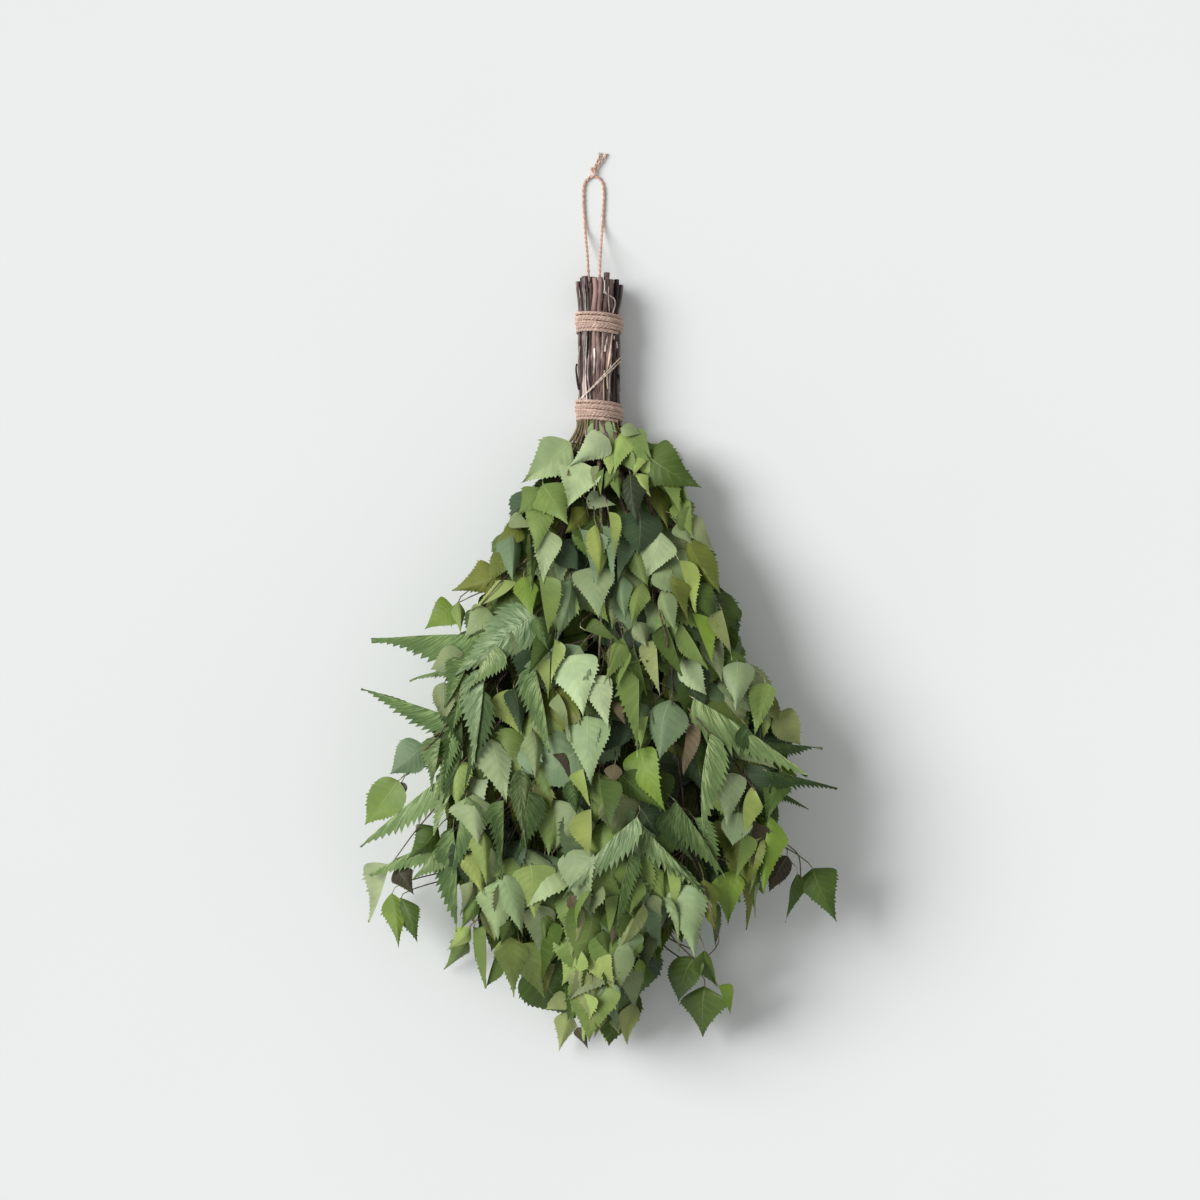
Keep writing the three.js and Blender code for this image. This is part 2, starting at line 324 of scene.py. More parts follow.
def leaf_material(name, veins, vein_width, relief, roughness, vein_tone, ridged):
    """A blade: pale midrib, side veins of vein_tone (painted shade where the veins are sunken), mottled,
    with a roughness that follows the mottle.
    """
    n = Nodes(name)
    uv = n.add("ShaderNodeSeparateXYZ")
    n.feed(uv.inputs[0], n.uv())
    across = n.math("ABSOLUTE", n.math("SUBTRACT", uv.outputs[0], 0.5))
    along = uv.outputs[1]
    left = n.math("GREATER_THAN", uv.outputs[0], 0.5)
    where = n.place()
    blotches = n.noise(where, 60, 2.0)
    turns = n.math("ADD", n.math("MULTIPLY", along, veins), n.math("MULTIPLY", left, 0.35))
    turns = n.math("ADD", turns, n.math("MULTIPLY", blotches, 0.8))
    off_vein = n.math("ABSOLUTE", n.math("SUBTRACT", n.math("FRACT", turns), 0.5))
    side_vein = n.stretch(off_vein, 0.0, vein_width, 1.0, 0.0)
    side_vein = n.math("MULTIPLY", side_vein, n.stretch(across, 0.5, 0.2))
    midrib = n.stretch(across, 0.006, 0.022, 1.0, 0.0)
    vein = n.math("MAXIMUM", midrib, n.math("MULTIPLY", side_vein, 0.5))
    mottle = n.noise(where, 900, 3.0)
    tint = n.tint()
    lighter = n.times(tint, 1.12, 1.1, 1.05)
    darker = n.times(tint, 0.84, 0.87, 0.84)
    colour = n.mix(n.stretch(blotches, 0.3, 0.7), darker, lighter)
    colour = n.mix(n.stretch(mottle, 0.45, 0.8, 0.0, 0.35), colour, darker)
    # vein_tone is pale for raised veins and painted shade for sunken ones.
    vein_colour = n.mix(0.4, tint, vein_tone)
    colour = n.mix(n.math("MULTIPLY", side_vein, 0.3), colour, vein_colour)
    colour = n.mix(n.math("MULTIPLY", midrib, 0.5), colour, n.mix(0.4, tint, MIDRIB))
    grain = n.noise(where, 2600, 2.0)
    height = n.math("ADD", n.math("MULTIPLY", vein, relief), n.math("MULTIPLY", grain, 0.35))
    if ridged:
        ridges = ridges_along_veins(n, where)
        height = n.math("ADD", height, n.math("MULTIPLY", ridges, 4.0))
        # Painted shade and highlight: the furrows between the ridges are darkened and the crests made
        # paler; the darker colour also grows towards the margins.
        painted_furrow_shade = n.times(colour, 0.55, 0.63, 0.5)
        painted_crest_highlight = n.times(colour, 1.55, 1.46, 1.6)
        colour = n.mix(n.stretch(ridges, 0.4, 0.6), painted_furrow_shade, painted_crest_highlight)
        colour = n.mix(n.stretch(across, 0.12, 0.4, 0.0, 0.7), colour, painted_furrow_shade)
    shine = n.stretch(mottle, 0.2, 0.8, roughness - 0.07, roughness + 0.12)
    return n.finish(colour, shine, n.bump(height, 0.0002), 0.25)


def ridges_along_veins(n, where):
    """Fine uneven ridges that run from the midrib to the margin beside the side veins."""
    drift = n.add("ShaderNodeVectorMath", operation="MULTIPLY_ADD")
    n.feed(drift.inputs[0], where)
    drift.inputs[1].default_value = (6, 6, 6)
    n.feed(drift.inputs[2], n.uv())
    return n.noise(n.scaled(drift.outputs[0], (3.5, 44, 1)), 1.0, 3.0, 0.6)


def bark_material():
    """Thin grey-brown bark: dark streaks along the stem, worn patches, and pale crossing pores."""
    n = Nodes("bark")
    streaks = n.noise(n.place((1, 0.07, 1)), 1150, 5.0, 0.65)
    patches = n.noise(n.place((1, 0.35, 1)), 90, 3.0)
    pores = n.noise(n.place((0.5, 3.2, 0.5)), 420, 2.0)
    tint = n.tint()
    pale = n.times(tint, 2.3, 2.26, 2.26)
    dark = n.times(tint, 0.27, 0.24, 0.24)
    colour = n.mix(n.stretch(streaks, 0.4, 0.56), dark, tint)
    colour = n.mix(n.stretch(patches, 0.52, 0.66, 0.0, 0.75), colour, pale)
    colour = n.mix(n.stretch(pores, 0.66, 0.74, 0.0, 0.6), colour, pale)
    rough = n.stretch(streaks, 0.3, 0.7, 0.62, 0.85)
    normal = n.bump(streaks, 0.0004)
    return n.finish(colour, rough, n.bump(pores, 0.0002, 0.6, normal), 0.3)


def cut_wood_material():
    """The sawn end of a stem: pale, grainy wood with brown stains."""
    n = Nodes("cut_wood")
    grain = n.noise(n.place(), 1500, 4.0)
    stain = n.noise(n.place(), 260, 3.0)
    tint = n.tint()
    colour = n.mix(n.stretch(grain, 0.35, 0.7, 0.0, 0.6), tint, linear(120, 98, 78))
    colour = n.mix(n.stretch(stain, 0.5, 0.75, 0.0, 0.5), colour, linear(96, 78, 64))
    return n.finish(colour, n.stretch(grain, 0.2, 0.8, 0.75, 0.92), n.bump(grain, 0.0003), 0.2)


def twine_material(name):
    """Jute: fine fibres that run along each ply, with lighter and darker lengths."""
    n = Nodes(name)
    fibres = n.noise(n.scaled(n.uv(), (5, 1.2, 1)), 3.2, 5.0, 0.7)
    lengths = n.noise(n.place(), 170, 2.0)
    tint = n.tint()
    # The dark lines between the fibres are partly the jute's own colour and partly painted shade in the
    # grooves.
    dark = n.times(tint, 0.42, 0.36, 0.33)
    pale = n.times(tint, 1.35, 1.34, 1.32)
    colour = n.mix(n.stretch(fibres, 0.36, 0.56), dark, tint)
    colour = n.mix(n.stretch(lengths, 0.5, 0.75, 0.0, 0.6), colour, pale)
    rough = n.stretch(fibres, 0.3, 0.7, 0.8, 0.95)
    return n.finish(colour, rough, n.bump(fibres, 0.00035), 0.15)


MIDRIB = linear(188, 196, 140)
# Painted shade: the dark colour of the nettle's sunken veins.
SUNK_VEIN_SHADE = linear(24, 44, 16)
BARK = bark_material()
CUT_WOOD = cut_wood_material()
BIRCH_LEAF = leaf_material(
    "birch_leaf", veins=8.0, vein_width=0.07, relief=0.5, roughness=0.46, vein_tone=MIDRIB,
    ridged=False,
)
NETTLE_LEAF = leaf_material(
    "nettle_leaf", veins=10.0, vein_width=0.16, relief=-1.2, roughness=0.6, vein_tone=SUNK_VEIN_SHADE,
    ridged=True,
)
JUTE = twine_material("jute")
LOOP_JUTE = twine_material("loop_jute")

# ---- Twine ----

JUTE_COLOUR = linear(220, 193, 177)
LOOP_COLOUR = linear(232, 192, 172)
PALE_STRAND = linear(252, 234, 218)
PLY_LAY = 7.0  # length over which the plies go round each other once
PLY_OFF, PLY_THICK = 0.5, 0.54  # of a ply: its place and its radius, as shares of the twine's
FIBRE = 0.05  # radius of a loose fibre


def plied(path, radius, colour, sides=6, number=2):
    """A number of plies twisted round each other along a path."""
    _, side, over = frames_along(path)
    along = length_along(path)
    turn = 2 * np.pi * along / PLY_LAY
    plies = []
    for start in np.arange(number) * 2 * np.pi / number:
        lean = side * np.cos(turn + start)[:, None] + over * np.sin(turn + start)[:, None]
        uneven = 1 + 0.07 * np.sin(along * 1.7 + start) + 0.05 * np.sin(along * 4.1)
        middle = path + lean * radius * PLY_OFF
        plies.append(tube(middle, radius * PLY_THICK * uneven, sides, colour))
    return plies


def loose_fibres(path, radius, colour, count):
    """Short hairs that stand out of a twine."""
    hairs = []
    for i in chance.integers(1, len(path) - 1, count):
        ahead = unit(path[i + 1] - path[i - 1])
        out = unit(np.cross(ahead, chance.normal(size=3)))
        long = chance.uniform(1.5, 4.0)
        start = path[i] + out * radius * 0.8
        bow = out * long * chance.uniform(0.2, 0.5)
        hair = [start, start + ahead * long * 0.5 + bow, start + ahead * long + bow * 1.1]
        hairs.append(tube(through(hair, 0.7), FIBRE, 3, colour))
    return hairs


BINDING_TURNS = 6
BINDING_TWINE = 1.0  # radius
BINDING_ARCH = 1.5  # how much nearer the cut ends a turn is on top than at the sides
BINDING_LEAN = 0.8  # and on the left than on the right
POINTS_A_TURN = 110


def helix(low, pitch, turns, radius, start):
    """The line of a wrap round the handle. Each turn wanders a little from a true screw. low is
    where it starts, towards the cut ends from the throat, and start the angle there."""
    angle = np.linspace(0, turns * 2 * np.pi, int(turns * POINTS_A_TURN))
    wander = 0.45 * np.sin(angle * 0.53 + low) + 0.3 * np.sin(angle * 1.31)
    r = radius + 0.3 * np.sin(angle * 0.87 + low)
    tilt = BINDING_ARCH * np.sin(angle + start) - BINDING_LEAN * np.cos(angle + start)
    y = low + pitch * angle / 2 / np.pi + wander * smoothstep(angle, 0, 4) + tilt
    return round_handle(r, angle + start, y)


def add_bindings():
    """Each binding: a layer that fills it, the turns that show, and a few turns over them."""
    for name in ("lower_binding", "upper_binding"):
        low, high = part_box(name)
        bottom = low.y / MM - THROAT_Y + BINDING_TWINE
        top = high.y / MM - THROAT_Y - BINDING_TWINE
        pitch = (top - bottom) / (BINDING_TURNS - 1)
        around = BINDING_RADIUS - BINDING_TWINE
        path = helix(bottom - 0.3, pitch, BINDING_TURNS - 0.6, around, 0.6)
        over = helix(bottom + 2.2, pitch * 1.7, 2.3, around + 0.75, 3.6)
        inner = helix(bottom + pitch / 2, pitch, BINDING_TURNS - 1.4, around - 0.8, 0.2)
        shapes = plied(path, BINDING_TWINE * 1.08, JUTE_COLOUR, 5, 3)
        # Painted shade and light: the filling layer, which shows only between the turns, is darker, and
        # the turns laid over the others are paler.
        shapes += plied(inner, BINDING_TWINE, JUTE_COLOUR * 0.8, 5)
        shapes += plied(over, BINDING_TWINE * 0.95, JUTE_COLOUR * 1.08, 5, 3)
        shapes += loose_fibres(path, BINDING_TWINE, JUTE_COLOUR, 70)
        add_piece(f"{name}_twine", name, joined(shapes), JUTE)


CROSS_FROM, CROSS_TO = 176, -62  # degrees round the handle, from its right side
CROSS_RADIUS = 0.5
CROSS_SUNK = 1.1  # how much nearer the axis it is than the outside of the bindings
CROSS_LAG = 0.055  # how far the second strand is behind, as a share of the climb


def add_cross_twine():
    """Two thin strands that climb round the handle from one binding to the other."""
    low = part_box("lower_binding")[1].y / MM - THROAT_Y
    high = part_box("upper_binding")[0].y / MM - THROAT_Y
    t = np.linspace(0, 1, 120)
    angle = np.radians(CROSS_FROM + (CROSS_TO - CROSS_FROM) * t)
    straight = (1 - np.cos(np.minimum(angle[0] - angle, np.pi))) / 2
    around = BINDING_RADIUS - CROSS_SUNK
    shapes = []
    for lag in (0.0, CROSS_LAG):
        share = 0.02 + 0.665 * straight + 0.26 * smoothstep(t, 0.7, 1) - lag * straight
        rise = low + (high - low) * np.clip(share, 0, 1)
        path = round_handle(around, angle, rise)
        shapes += plied(path, CROSS_RADIUS, PALE_STRAND, 5)
        shapes += loose_fibres(path, CROSS_RADIUS, PALE_STRAND, 16)
    add_piece("cross_strands", "cross_twine", joined(shapes), JUTE)


# The hanging loop's route: across and past the throat (negative, as it is beyond the cut ends), up.
LOOP_FEET = -80.3
LOOP_ROUTE = [
    (-6.6, LOOP_FEET, 14.6), (-6.7, -90, 14.6), (-6.9, -99, 14.5), (-7.2, -105, 13.6),
    (-7.6, -111, 11.2), (-8.1, -117, 7.9), (-8.6, -123, 4.6), (-9.1, -129, 2.1),
    (-9.5, -136, 1.05), (-9.9, -144, 0.98), (-10.2, -152, 0.98), (-9.4, -158.6, 0.98),
    (-6.6, -162.6, 0.98), (-3.4, -164, 0.98), (-0.2, -162.8, 0.98), (2.3, -159, 0.98),
    (3.2, -153, 0.98), (3.0, -145, 0.98), (2.6, -137, 1.05), (2.1, -130, 2.3),
    (1.6, -124, 5.3), (1.2, -118, 9.4), (0.9, -112, 13.9), (0.6, -106, 17.6),
    (0.4, -99, 20.0), (0.1, -90, 20.6), (-0.2, LOOP_FEET, 20.8),
]
LOOP_DIAMETER = 1.9
KNOT_TWINE = 0.72  # radius: pulled tighter than the rest
TAIL_TWINE = 0.8
FRAYED_FIBRES, FRAYED = 16, 0.1  # at a cut end: how many, and their radius
TAIL_LEAN = {"loop_tail_left": 4.2, "loop_tail_right": 8.0}  # across, from the knot to the tip


def add_loop_piece(node, shapes):
    return add_piece(f"{node}_twine", node, joined(shapes), LOOP_JUTE)


def add_knot():
    """An overhand knot: a trefoil of twine, as big as its CAD solid."""
    low, high = (np.array(corner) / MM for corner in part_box("loop_knot"))
    middle, radius = (low + high) / 2, (high - low).min() / 2
    a = np.linspace(0, 2 * np.pi, 70)
    trefoil = np.stack(
        [np.sin(a) + 2 * np.sin(2 * a), np.cos(a) - 2 * np.cos(2 * a), -np.sin(3 * a)], axis=1
    )
    path = middle + trefoil / 3 * (radius - 0.55) * [1.0, 1.15, 0.9]
    shapes = plied(path, KNOT_TWINE, LOOP_COLOUR)
    shapes += loose_fibres(path, KNOT_TWINE, LOOP_COLOUR, 14)
    return add_loop_piece("loop_knot", shapes), middle


def add_tail(node, lean, knot_middle):
    """A cut end of the loop that frays into fibres."""
    low, high = (np.array(corner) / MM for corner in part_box(node))
    far = np.array([knot_middle[0] + lean, high[1] - 1.2, low[2] + 0.9])
    middle = (knot_middle + far) / 2 + [0, 0, 0.3]
    path = through([knot_middle, middle, far], 0.4)
    shapes = plied(path, TAIL_TWINE, LOOP_COLOUR)
    ahead = unit(path[-1] - path[-4])
    for _ in range(FRAYED_FIBRES):
        away = chance.normal(size=3) * [0.42, 0.3, 0.16]
        hair = [path[-4], path[-1] + away, path[-1] + ahead * chance.uniform(0.6, 1.6) + away * 2]
        hair = np.maximum(hair, [-np.inf, -np.inf, 0.2])
        shapes.append(tube(through(hair, 0.5), FRAYED, 3, LOOP_COLOUR))
    return add_loop_piece(node, shapes)


def add_loop():
    """The loop, its knot and its tails, which are one cord."""
    knot, middle = add_knot()
    tails = [add_tail(node, lean, middle) for node, lean in TAIL_LEAN.items()]
    path = through([spot(*place) for place in LOOP_ROUTE], 0.45)
    shapes = plied(path, LOOP_DIAMETER / 2, LOOP_COLOUR)
    shapes += loose_fibres(path, LOOP_DIAMETER / 2, LOOP_COLOUR, 60)
    loop = add_loop_piece("hanging_loop", shapes)


# ---- Branches, read from the CAD model ----


LEAST_SIDES = 5  # of a ring in the CAD branches


def sections(node):
    """The middle and mean radius of a lofted CAD solid at each of its rings, from the handle out."""
    points = np.array([v.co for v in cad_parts[node].data.vertices], float) / MM
    levels = np.round(points[:, 1], 1)
    rings = []
    for level in sorted(set(levels), reverse=True):
        ring = np.unique(np.round(points[levels == level], 3), axis=0)
        if len(ring) >= LEAST_SIDES:
            middle = ring.mean(axis=0)
            rings.append((middle, np.linalg.norm(ring - middle, axis=1).mean()))
    return np.array([m for m, _ in rings]), np.array([r for _, r in rings])


# The edges of the thick part of the bundle: past the throat, then its left and right edges.
BODY = np.array([
    (0, -13, 15), (10, -20, 32), (30, -38, 52), (60, -55, 58), (90, -66, 72), (110, -72, 80),
    (140, -84, 86), (170, -98, 104), (190, -100, 116), (230, -102, 112), (260, -98, 114),
    (280, -92, 110), (300, -86, 92), (320, -80, 66), (340, -66, 42), (360, -40, 28), (380, -28, 25),
    (402, -16, 14),
])


WIDEST = 118


def body_edges(past):
    return np.interp(past, BODY[:, 0], BODY[:, 1]), np.interp(past, BODY[:, 0], BODY[:, 2])


def in_body(across, past, margin):
    left, right = body_edges(past)
    return left + margin < across < right - margin and past < BODY[-1, 0] - margin


class Branch:
    """A stem, its spray, and the line that the spray's main twig follows inside the bundle."""

    def __init__(self, stem):
        self.stem = stem
        self.spray = stem.replace("stem", "spray")
        self.nettle = stem.startswith("nettle")
        self.cane, radii = sections(stem)
        self.radius = radii.mean()
        pod, _ = sections(self.spray)
        self.pod = pod
        self.leaves = []
        route = np.concatenate([self.cane[-2:], pod[1:-1]])
        route[2:, 0] += chance.normal(0, 2.0, len(route) - 2)
        deep = 9 * smoothstep(route[2:, 2], 20, 60) * smoothstep(THROAT_Y - route[2:, 1], 0, 30)
        route[2:, 2] += chance.normal(0, 1.4, len(route) - 2) - deep
        left, right = body_edges(THROAT_Y - route[:, 1])
        middle, half = (left + right) / 2 + AXIS_X, (right - left) / 2
        off = (route[:, 0] - middle) / (half * 0.8)
        route[2:, 0] = (middle + half * 0.8 * np.tanh(off))[2:]
        self.twig = through(route, 3.0)

    def nearest(self, place):
        """How far the branch's pod is from a place, with distance along the bundle counted less."""
        gap = (self.pod - place) * [1.0, 0.45, 1.3]
        return np.linalg.norm(gap, axis=1).min()


def all_branches():
    names = sorted(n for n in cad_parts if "_stem_" in n)
    return [Branch(name) for name in names]


BRANCHES = all_branches()
# Painted shade: the bark of the stems under the top row, which show only in the gaps between the others,
# is made darker.
BARK_COLOURS = [
    linear(84, 70, 65), linear(70, 58, 53), linear(92, 80, 75), linear(76, 66, 61),
    linear(88, 71, 63),
]
SAWN_COLOUR = linear(150, 124, 106)
STALK_COLOUR = linear(126, 122, 84)
TWIG_COLOUR = linear(104, 84, 74)
PETIOLE_COLOUR = linear(164, 160, 120)
GREY_BARK = linear(146, 133, 129)
PINK_BARK = linear(119, 97, 92)
# Bark of dark stems; darkened also as painted shade, for the thin stems that lie in the gaps.
DARK_BARK = linear(70, 56, 52)
# Peeled bark, pale; also used for one painted highlight.
PEELED_BARK_AND_HIGHLIGHT = linear(226, 214, 204)
DRY_BARK = linear(188, 168, 148)
# A pale grey for painted highlights: thin strips along the tops of some stems.
PAINTED_HIGHLIGHT = linear(182, 168, 160)

# The stems that show on top of the handle. Each has its radius, its colour, and its route: across,
# and past the throat, from its sawn end.
LATHS = {
    "nettle_stem_02": [
        (1.4, PINK_BARK, [(-13.7, -94.0), (-12.8, -84), (-11.9, -73), (-12.0, -55), (-12.2, -14)]),
        (0.7, DRY_BARK, [(-12.2, -52), (-13.3, -40), (-13.1, -28), (-12.3, -15)]),
        # a thin pale strip: painted highlight along the top of the stem
        (0.35, PAINTED_HIGHLIGHT, [(-12.9, -90), (-12.0, -82), (-11.4, -74)]),
        (0.6, DARK_BARK, [(-14.4, -41), (-14.9, -38), (-14.2, -32), (-12.8, -24)]),
    ],
    "birch_stem_02": [
        (1.3, DARK_BARK, [(-11.2, -96.0), (-10.4, -84), (-9.7, -73), (-10.4, -45), (-10.8, -14)]),
    ],
    "birch_stem_01": [
        (2.0, GREY_BARK, [(-9.3, -96.8), (-8.5, -86), (-7.6, -73), (-8.7, -50), (-8.4, -14)]),
        (0.7, GREY_BARK, [(-5.4, -58), (-6.3, -46), (-6.9, -35), (-5.8, -22), (-5.7, -14)]),
        # thin pale strips: painted highlights along the top of the stem
        (0.4, PAINTED_HIGHLIGHT, [(-9.6, -91), (-8.8, -84), (-8.1, -74)]),
        (0.4, PAINTED_HIGHLIGHT, [(-8.0, -58), (-8.2, -44), (-8.8, -30), (-8.0, -16)]),
    ],
    "birch_stem_12": [
        (0.8, DARK_BARK, [(-5.2, -91.6), (-5.3, -82), (-5.4, -73), (-5.6, -50), (-6.6, -14)]),
    ],
    "nettle_stem_01": [
        (1.7, PINK_BARK, [(-2.8, -95.7), (-2.1, -86), (-3.6, -73), (-3.3, -56), (-2.9, -14)]),
        # a thin pale strip: painted highlight on this stem
        (0.5, PEELED_BARK_AND_HIGHLIGHT, [(-3.0, -50), (-2.9, -45), (-2.8, -37), (-2.9, -34)]),
        (0.8, DARK_BARK, [(-4.7, -76), (-4.9, -60), (-4.4, -40), (-4.6, -14)]),
    ],
    "birch_stem_10": [
        (1.75, PINK_BARK, [(0.9, -95.7), (1.1, -85), (0.4, -73), (-0.5, -55), (0.0, -14)]),
        (1.1, DRY_BARK * 0.7, [(2.8, -62), (2.4, -50), (1.2, -40), (0.4, -28), (-1.2, -14)]),
        (0.6, DRY_BARK, [(3.5, -36), (2.7, -28), (2.7, -14)]),
    ],
    "birch_stem_18": [
        (1.9, PINK_BARK, [(5.0, -99.0), (4.5, -86), (4.1, -73), (3.4, -55), (1.7, -38), (1.9, -14)]),
        (0.6, PEELED_BARK_AND_HIGHLIGHT, [(3.7, -93.9), (3.5, -89), (3.5, -87)]),
        (0.65, PEELED_BARK_AND_HIGHLIGHT, [(2.6, -86.6), (3.6, -85.8), (4.6, -85.6), (5.4, -84.8)]),
        (0.65, PEELED_BARK_AND_HIGHLIGHT, [(2.8, -87.6), (3.5, -87), (4.3, -86.6)]),
        (0.9, PEELED_BARK_AND_HIGHLIGHT, [(5.0, -60), (4.8, -56), (4.2, -52), (3.6, -48)]),
    ],
    "birch_stem_09": [
        (2.1, PINK_BARK, [(7.4, -94.6), (7.2, -85), (7.5, -73), (6.0, -52), (5.3, -36), (5.5, -14)]),
        (0.6, DRY_BARK, [(8.6, -61), (7.6, -54), (6.3, -44), (5.2, -34), (5.9, -24)]),
        (0.45, PEELED_BARK_AND_HIGHLIGHT, [(5.6, -85), (7.6, -83.6), (9.6, -82.2), (10.3, -79.6), (9.6, -76), (8.7, -73)]),
        (0.7, DRY_BARK, [(7.4, -81), (7.6, -77), (7.4, -72)]),
        # thin pale strips: painted highlights along the top of the stem
        (0.4, PAINTED_HIGHLIGHT, [(6.2, -90), (6.0, -84), (6.3, -74)]),
        (0.4, PAINTED_HIGHLIGHT, [(7.2, -40), (6.6, -30), (6.6, -16)]),
    ],
    "nettle_stem_03": [
        (1.5, DARK_BARK, [(11.3, -95.0), (11.1, -84), (10.6, -73), (9.5, -52), (9.2, -30), (8.9, -14)]),
        (0.9, PEELED_BARK_AND_HIGHLIGHT, [(9.4, -58.6), (9.6, -56), (10.8, -54.4), (11.4, -51)]),
        (0.7, GREY_BARK, [(7.0, -48), (7.6, -38), (7.2, -28), (8.0, -14)]),
    ],
    "birch_stem_08": [
        (1.6, GREY_BARK, [(14.2, -91.8), (13.3, -82), (12.0, -73), (11.9, -50), (11.9, -14)]),
        (0.8, DARK_BARK, [(12.4, -34), (12.9, -27), (13.2, -23.6), (12.5, -20)]),
    ],
}
LATH_RING = 13.1  # how far the outsides of these stems are from the handle's axis
THIN = 0.7  # stems thinner than this lie on top of the others,
THIN_LIFT = 0.9  # this much further out
CANE_SIDES = 14
KNUCKLE_GAP = 31
PAINTED_SHADE_TONE, PAINTED_LIGHT_TONE = 0.42, 1.1  # painted shade and light: how pale the bark is made between the stems and on the outside


def on_ring(across, past, radius):
    """A place on the rounded outside of the handle, for the middle of a stem."""
    ring = LATH_RING - radius * 0.75 + (THIN_LIFT if radius < THIN else 0)
    return spot(across, past, AXIS_UP + math.sqrt(max(ring**2 - across**2, 0)))


def cane(route, radius, colour):
    """A stem with a knuckle here and there and uneven bark."""
    path = through(route, 1.4)
    along = length_along(path)
    inside = smoothstep(along, 4, 14)
    sway = chance.uniform(0, 6, 4)
    path[:, 0] += inside * 0.3 * np.sin(along / 9 + sway[0])
    path[:, 2] += inside * 0.3 * np.sin(along / 11 + sway[1])
    girth = radius * (1 + 0.06 * np.sin(along / 7 + sway[2]))
    for knuckle in np.arange(chance.uniform(8, 24), along[-1] - 6, KNUCKLE_GAP):
        girth += radius * 0.22 * np.exp(-(((along - knuckle) / 1.7) ** 2))
    around = np.arange(CANE_SIDES) * 2 * np.pi / CANE_SIDES
    bent = np.sin(2 * around[None] + along[:, None] / 13 + sway[3])
    ridges = np.sin(5 * around[None] + along[:, None] / 17)
    swell = 1 + 0.06 * bent + 0.07 * ridges
    # Painted shade and light: bark that faces into the bundle, between the stems, is darker, and bark
    # that faces out is paler.
    outward = unit((path - [AXIS_X, 0, AXIS_UP]) * [1, 0, 1])
    facing = np.sum(rings_along(path, CANE_SIDES) * outward[:, None], axis=2)
    tone = PAINTED_SHADE_TONE + (PAINTED_LIGHT_TONE - PAINTED_SHADE_TONE) * smoothstep(facing, 0.0, 0.9)
    tint = colour * chance.uniform(0.88, 1.12) * tone[:, :, None]
    return tube(path, girth, CANE_SIDES, tint, swell)


def sawn_end(route, radius):
    """A thin disc of bare wood on the cut end of a stem."""
    start, ahead = route[0], unit(route[1] - route[0])
    disc = [start - ahead * 0.25, start + ahead * 0.3]
    return tube(disc, radius * 0.9, CANE_SIDES, SAWN_COLOUR * chance.uniform(0.7, 1.1))


def add_canes():
    """The stems in the handle: the ones that show follow LATHS, and the rest the CAD model."""
    for number, branch in enumerate(BRANCHES):
        routes = []
        for radius, colour, places in LATHS.get(branch.stem, []):
            route = [on_ring(*place, radius) for place in places]
            if not routes:
                route.append(branch.cane[-1])
            routes.append((route, radius, colour))
        if not routes:
            routes.append((branch.cane, branch.radius * 0.94, BARK_COLOURS[number % len(BARK_COLOURS)]))
        bark = joined([cane(*each) for each in routes])
        add_piece(branch.stem + "_bark", branch.stem, bark, BARK)
        cut = sawn_end(routes[0][0], routes[0][1])
        add_piece(branch.stem + "_cut", branch.stem, cut, CUT_WOOD)


# ---- Leaves ----

LOOKS = {
    "pale": (168, 184, 140),
    "mist": (143, 161, 117),
    "light": (149, 168, 96),
    "mid": (113, 134, 70),
    "deep": (74, 95, 39),
    "blue": (112, 134, 98),
    "dusk": (62, 80, 54),
    "lime": (146, 161, 86),
    "bright": (112, 137, 52),
    "olive": (100, 109, 43),
    "khaki": (141, 150, 96),
    "grey": (126, 139, 97),
    "shade": (48, 57, 35),
    "brown": (98, 87, 64),
    "umber": (60, 54, 38),
    "nettle": (102, 125, 74),
    "nettle dark": (70, 92, 48),
    "nettle light": (132, 152, 102),
    "nettle pale": (144, 164, 122),
}
LOOK_COLOURS = {look: linear(*colour) for look, colour in LOOKS.items()}
PALE_LOOKS = ("pale", "mist", "light", "grey", "khaki", "lime", "blue")


COLUMNS = np.array([-1, -0.7, -0.36, 0, 0.36, 0.7, 1])
MIDRIB_COLUMN = 3


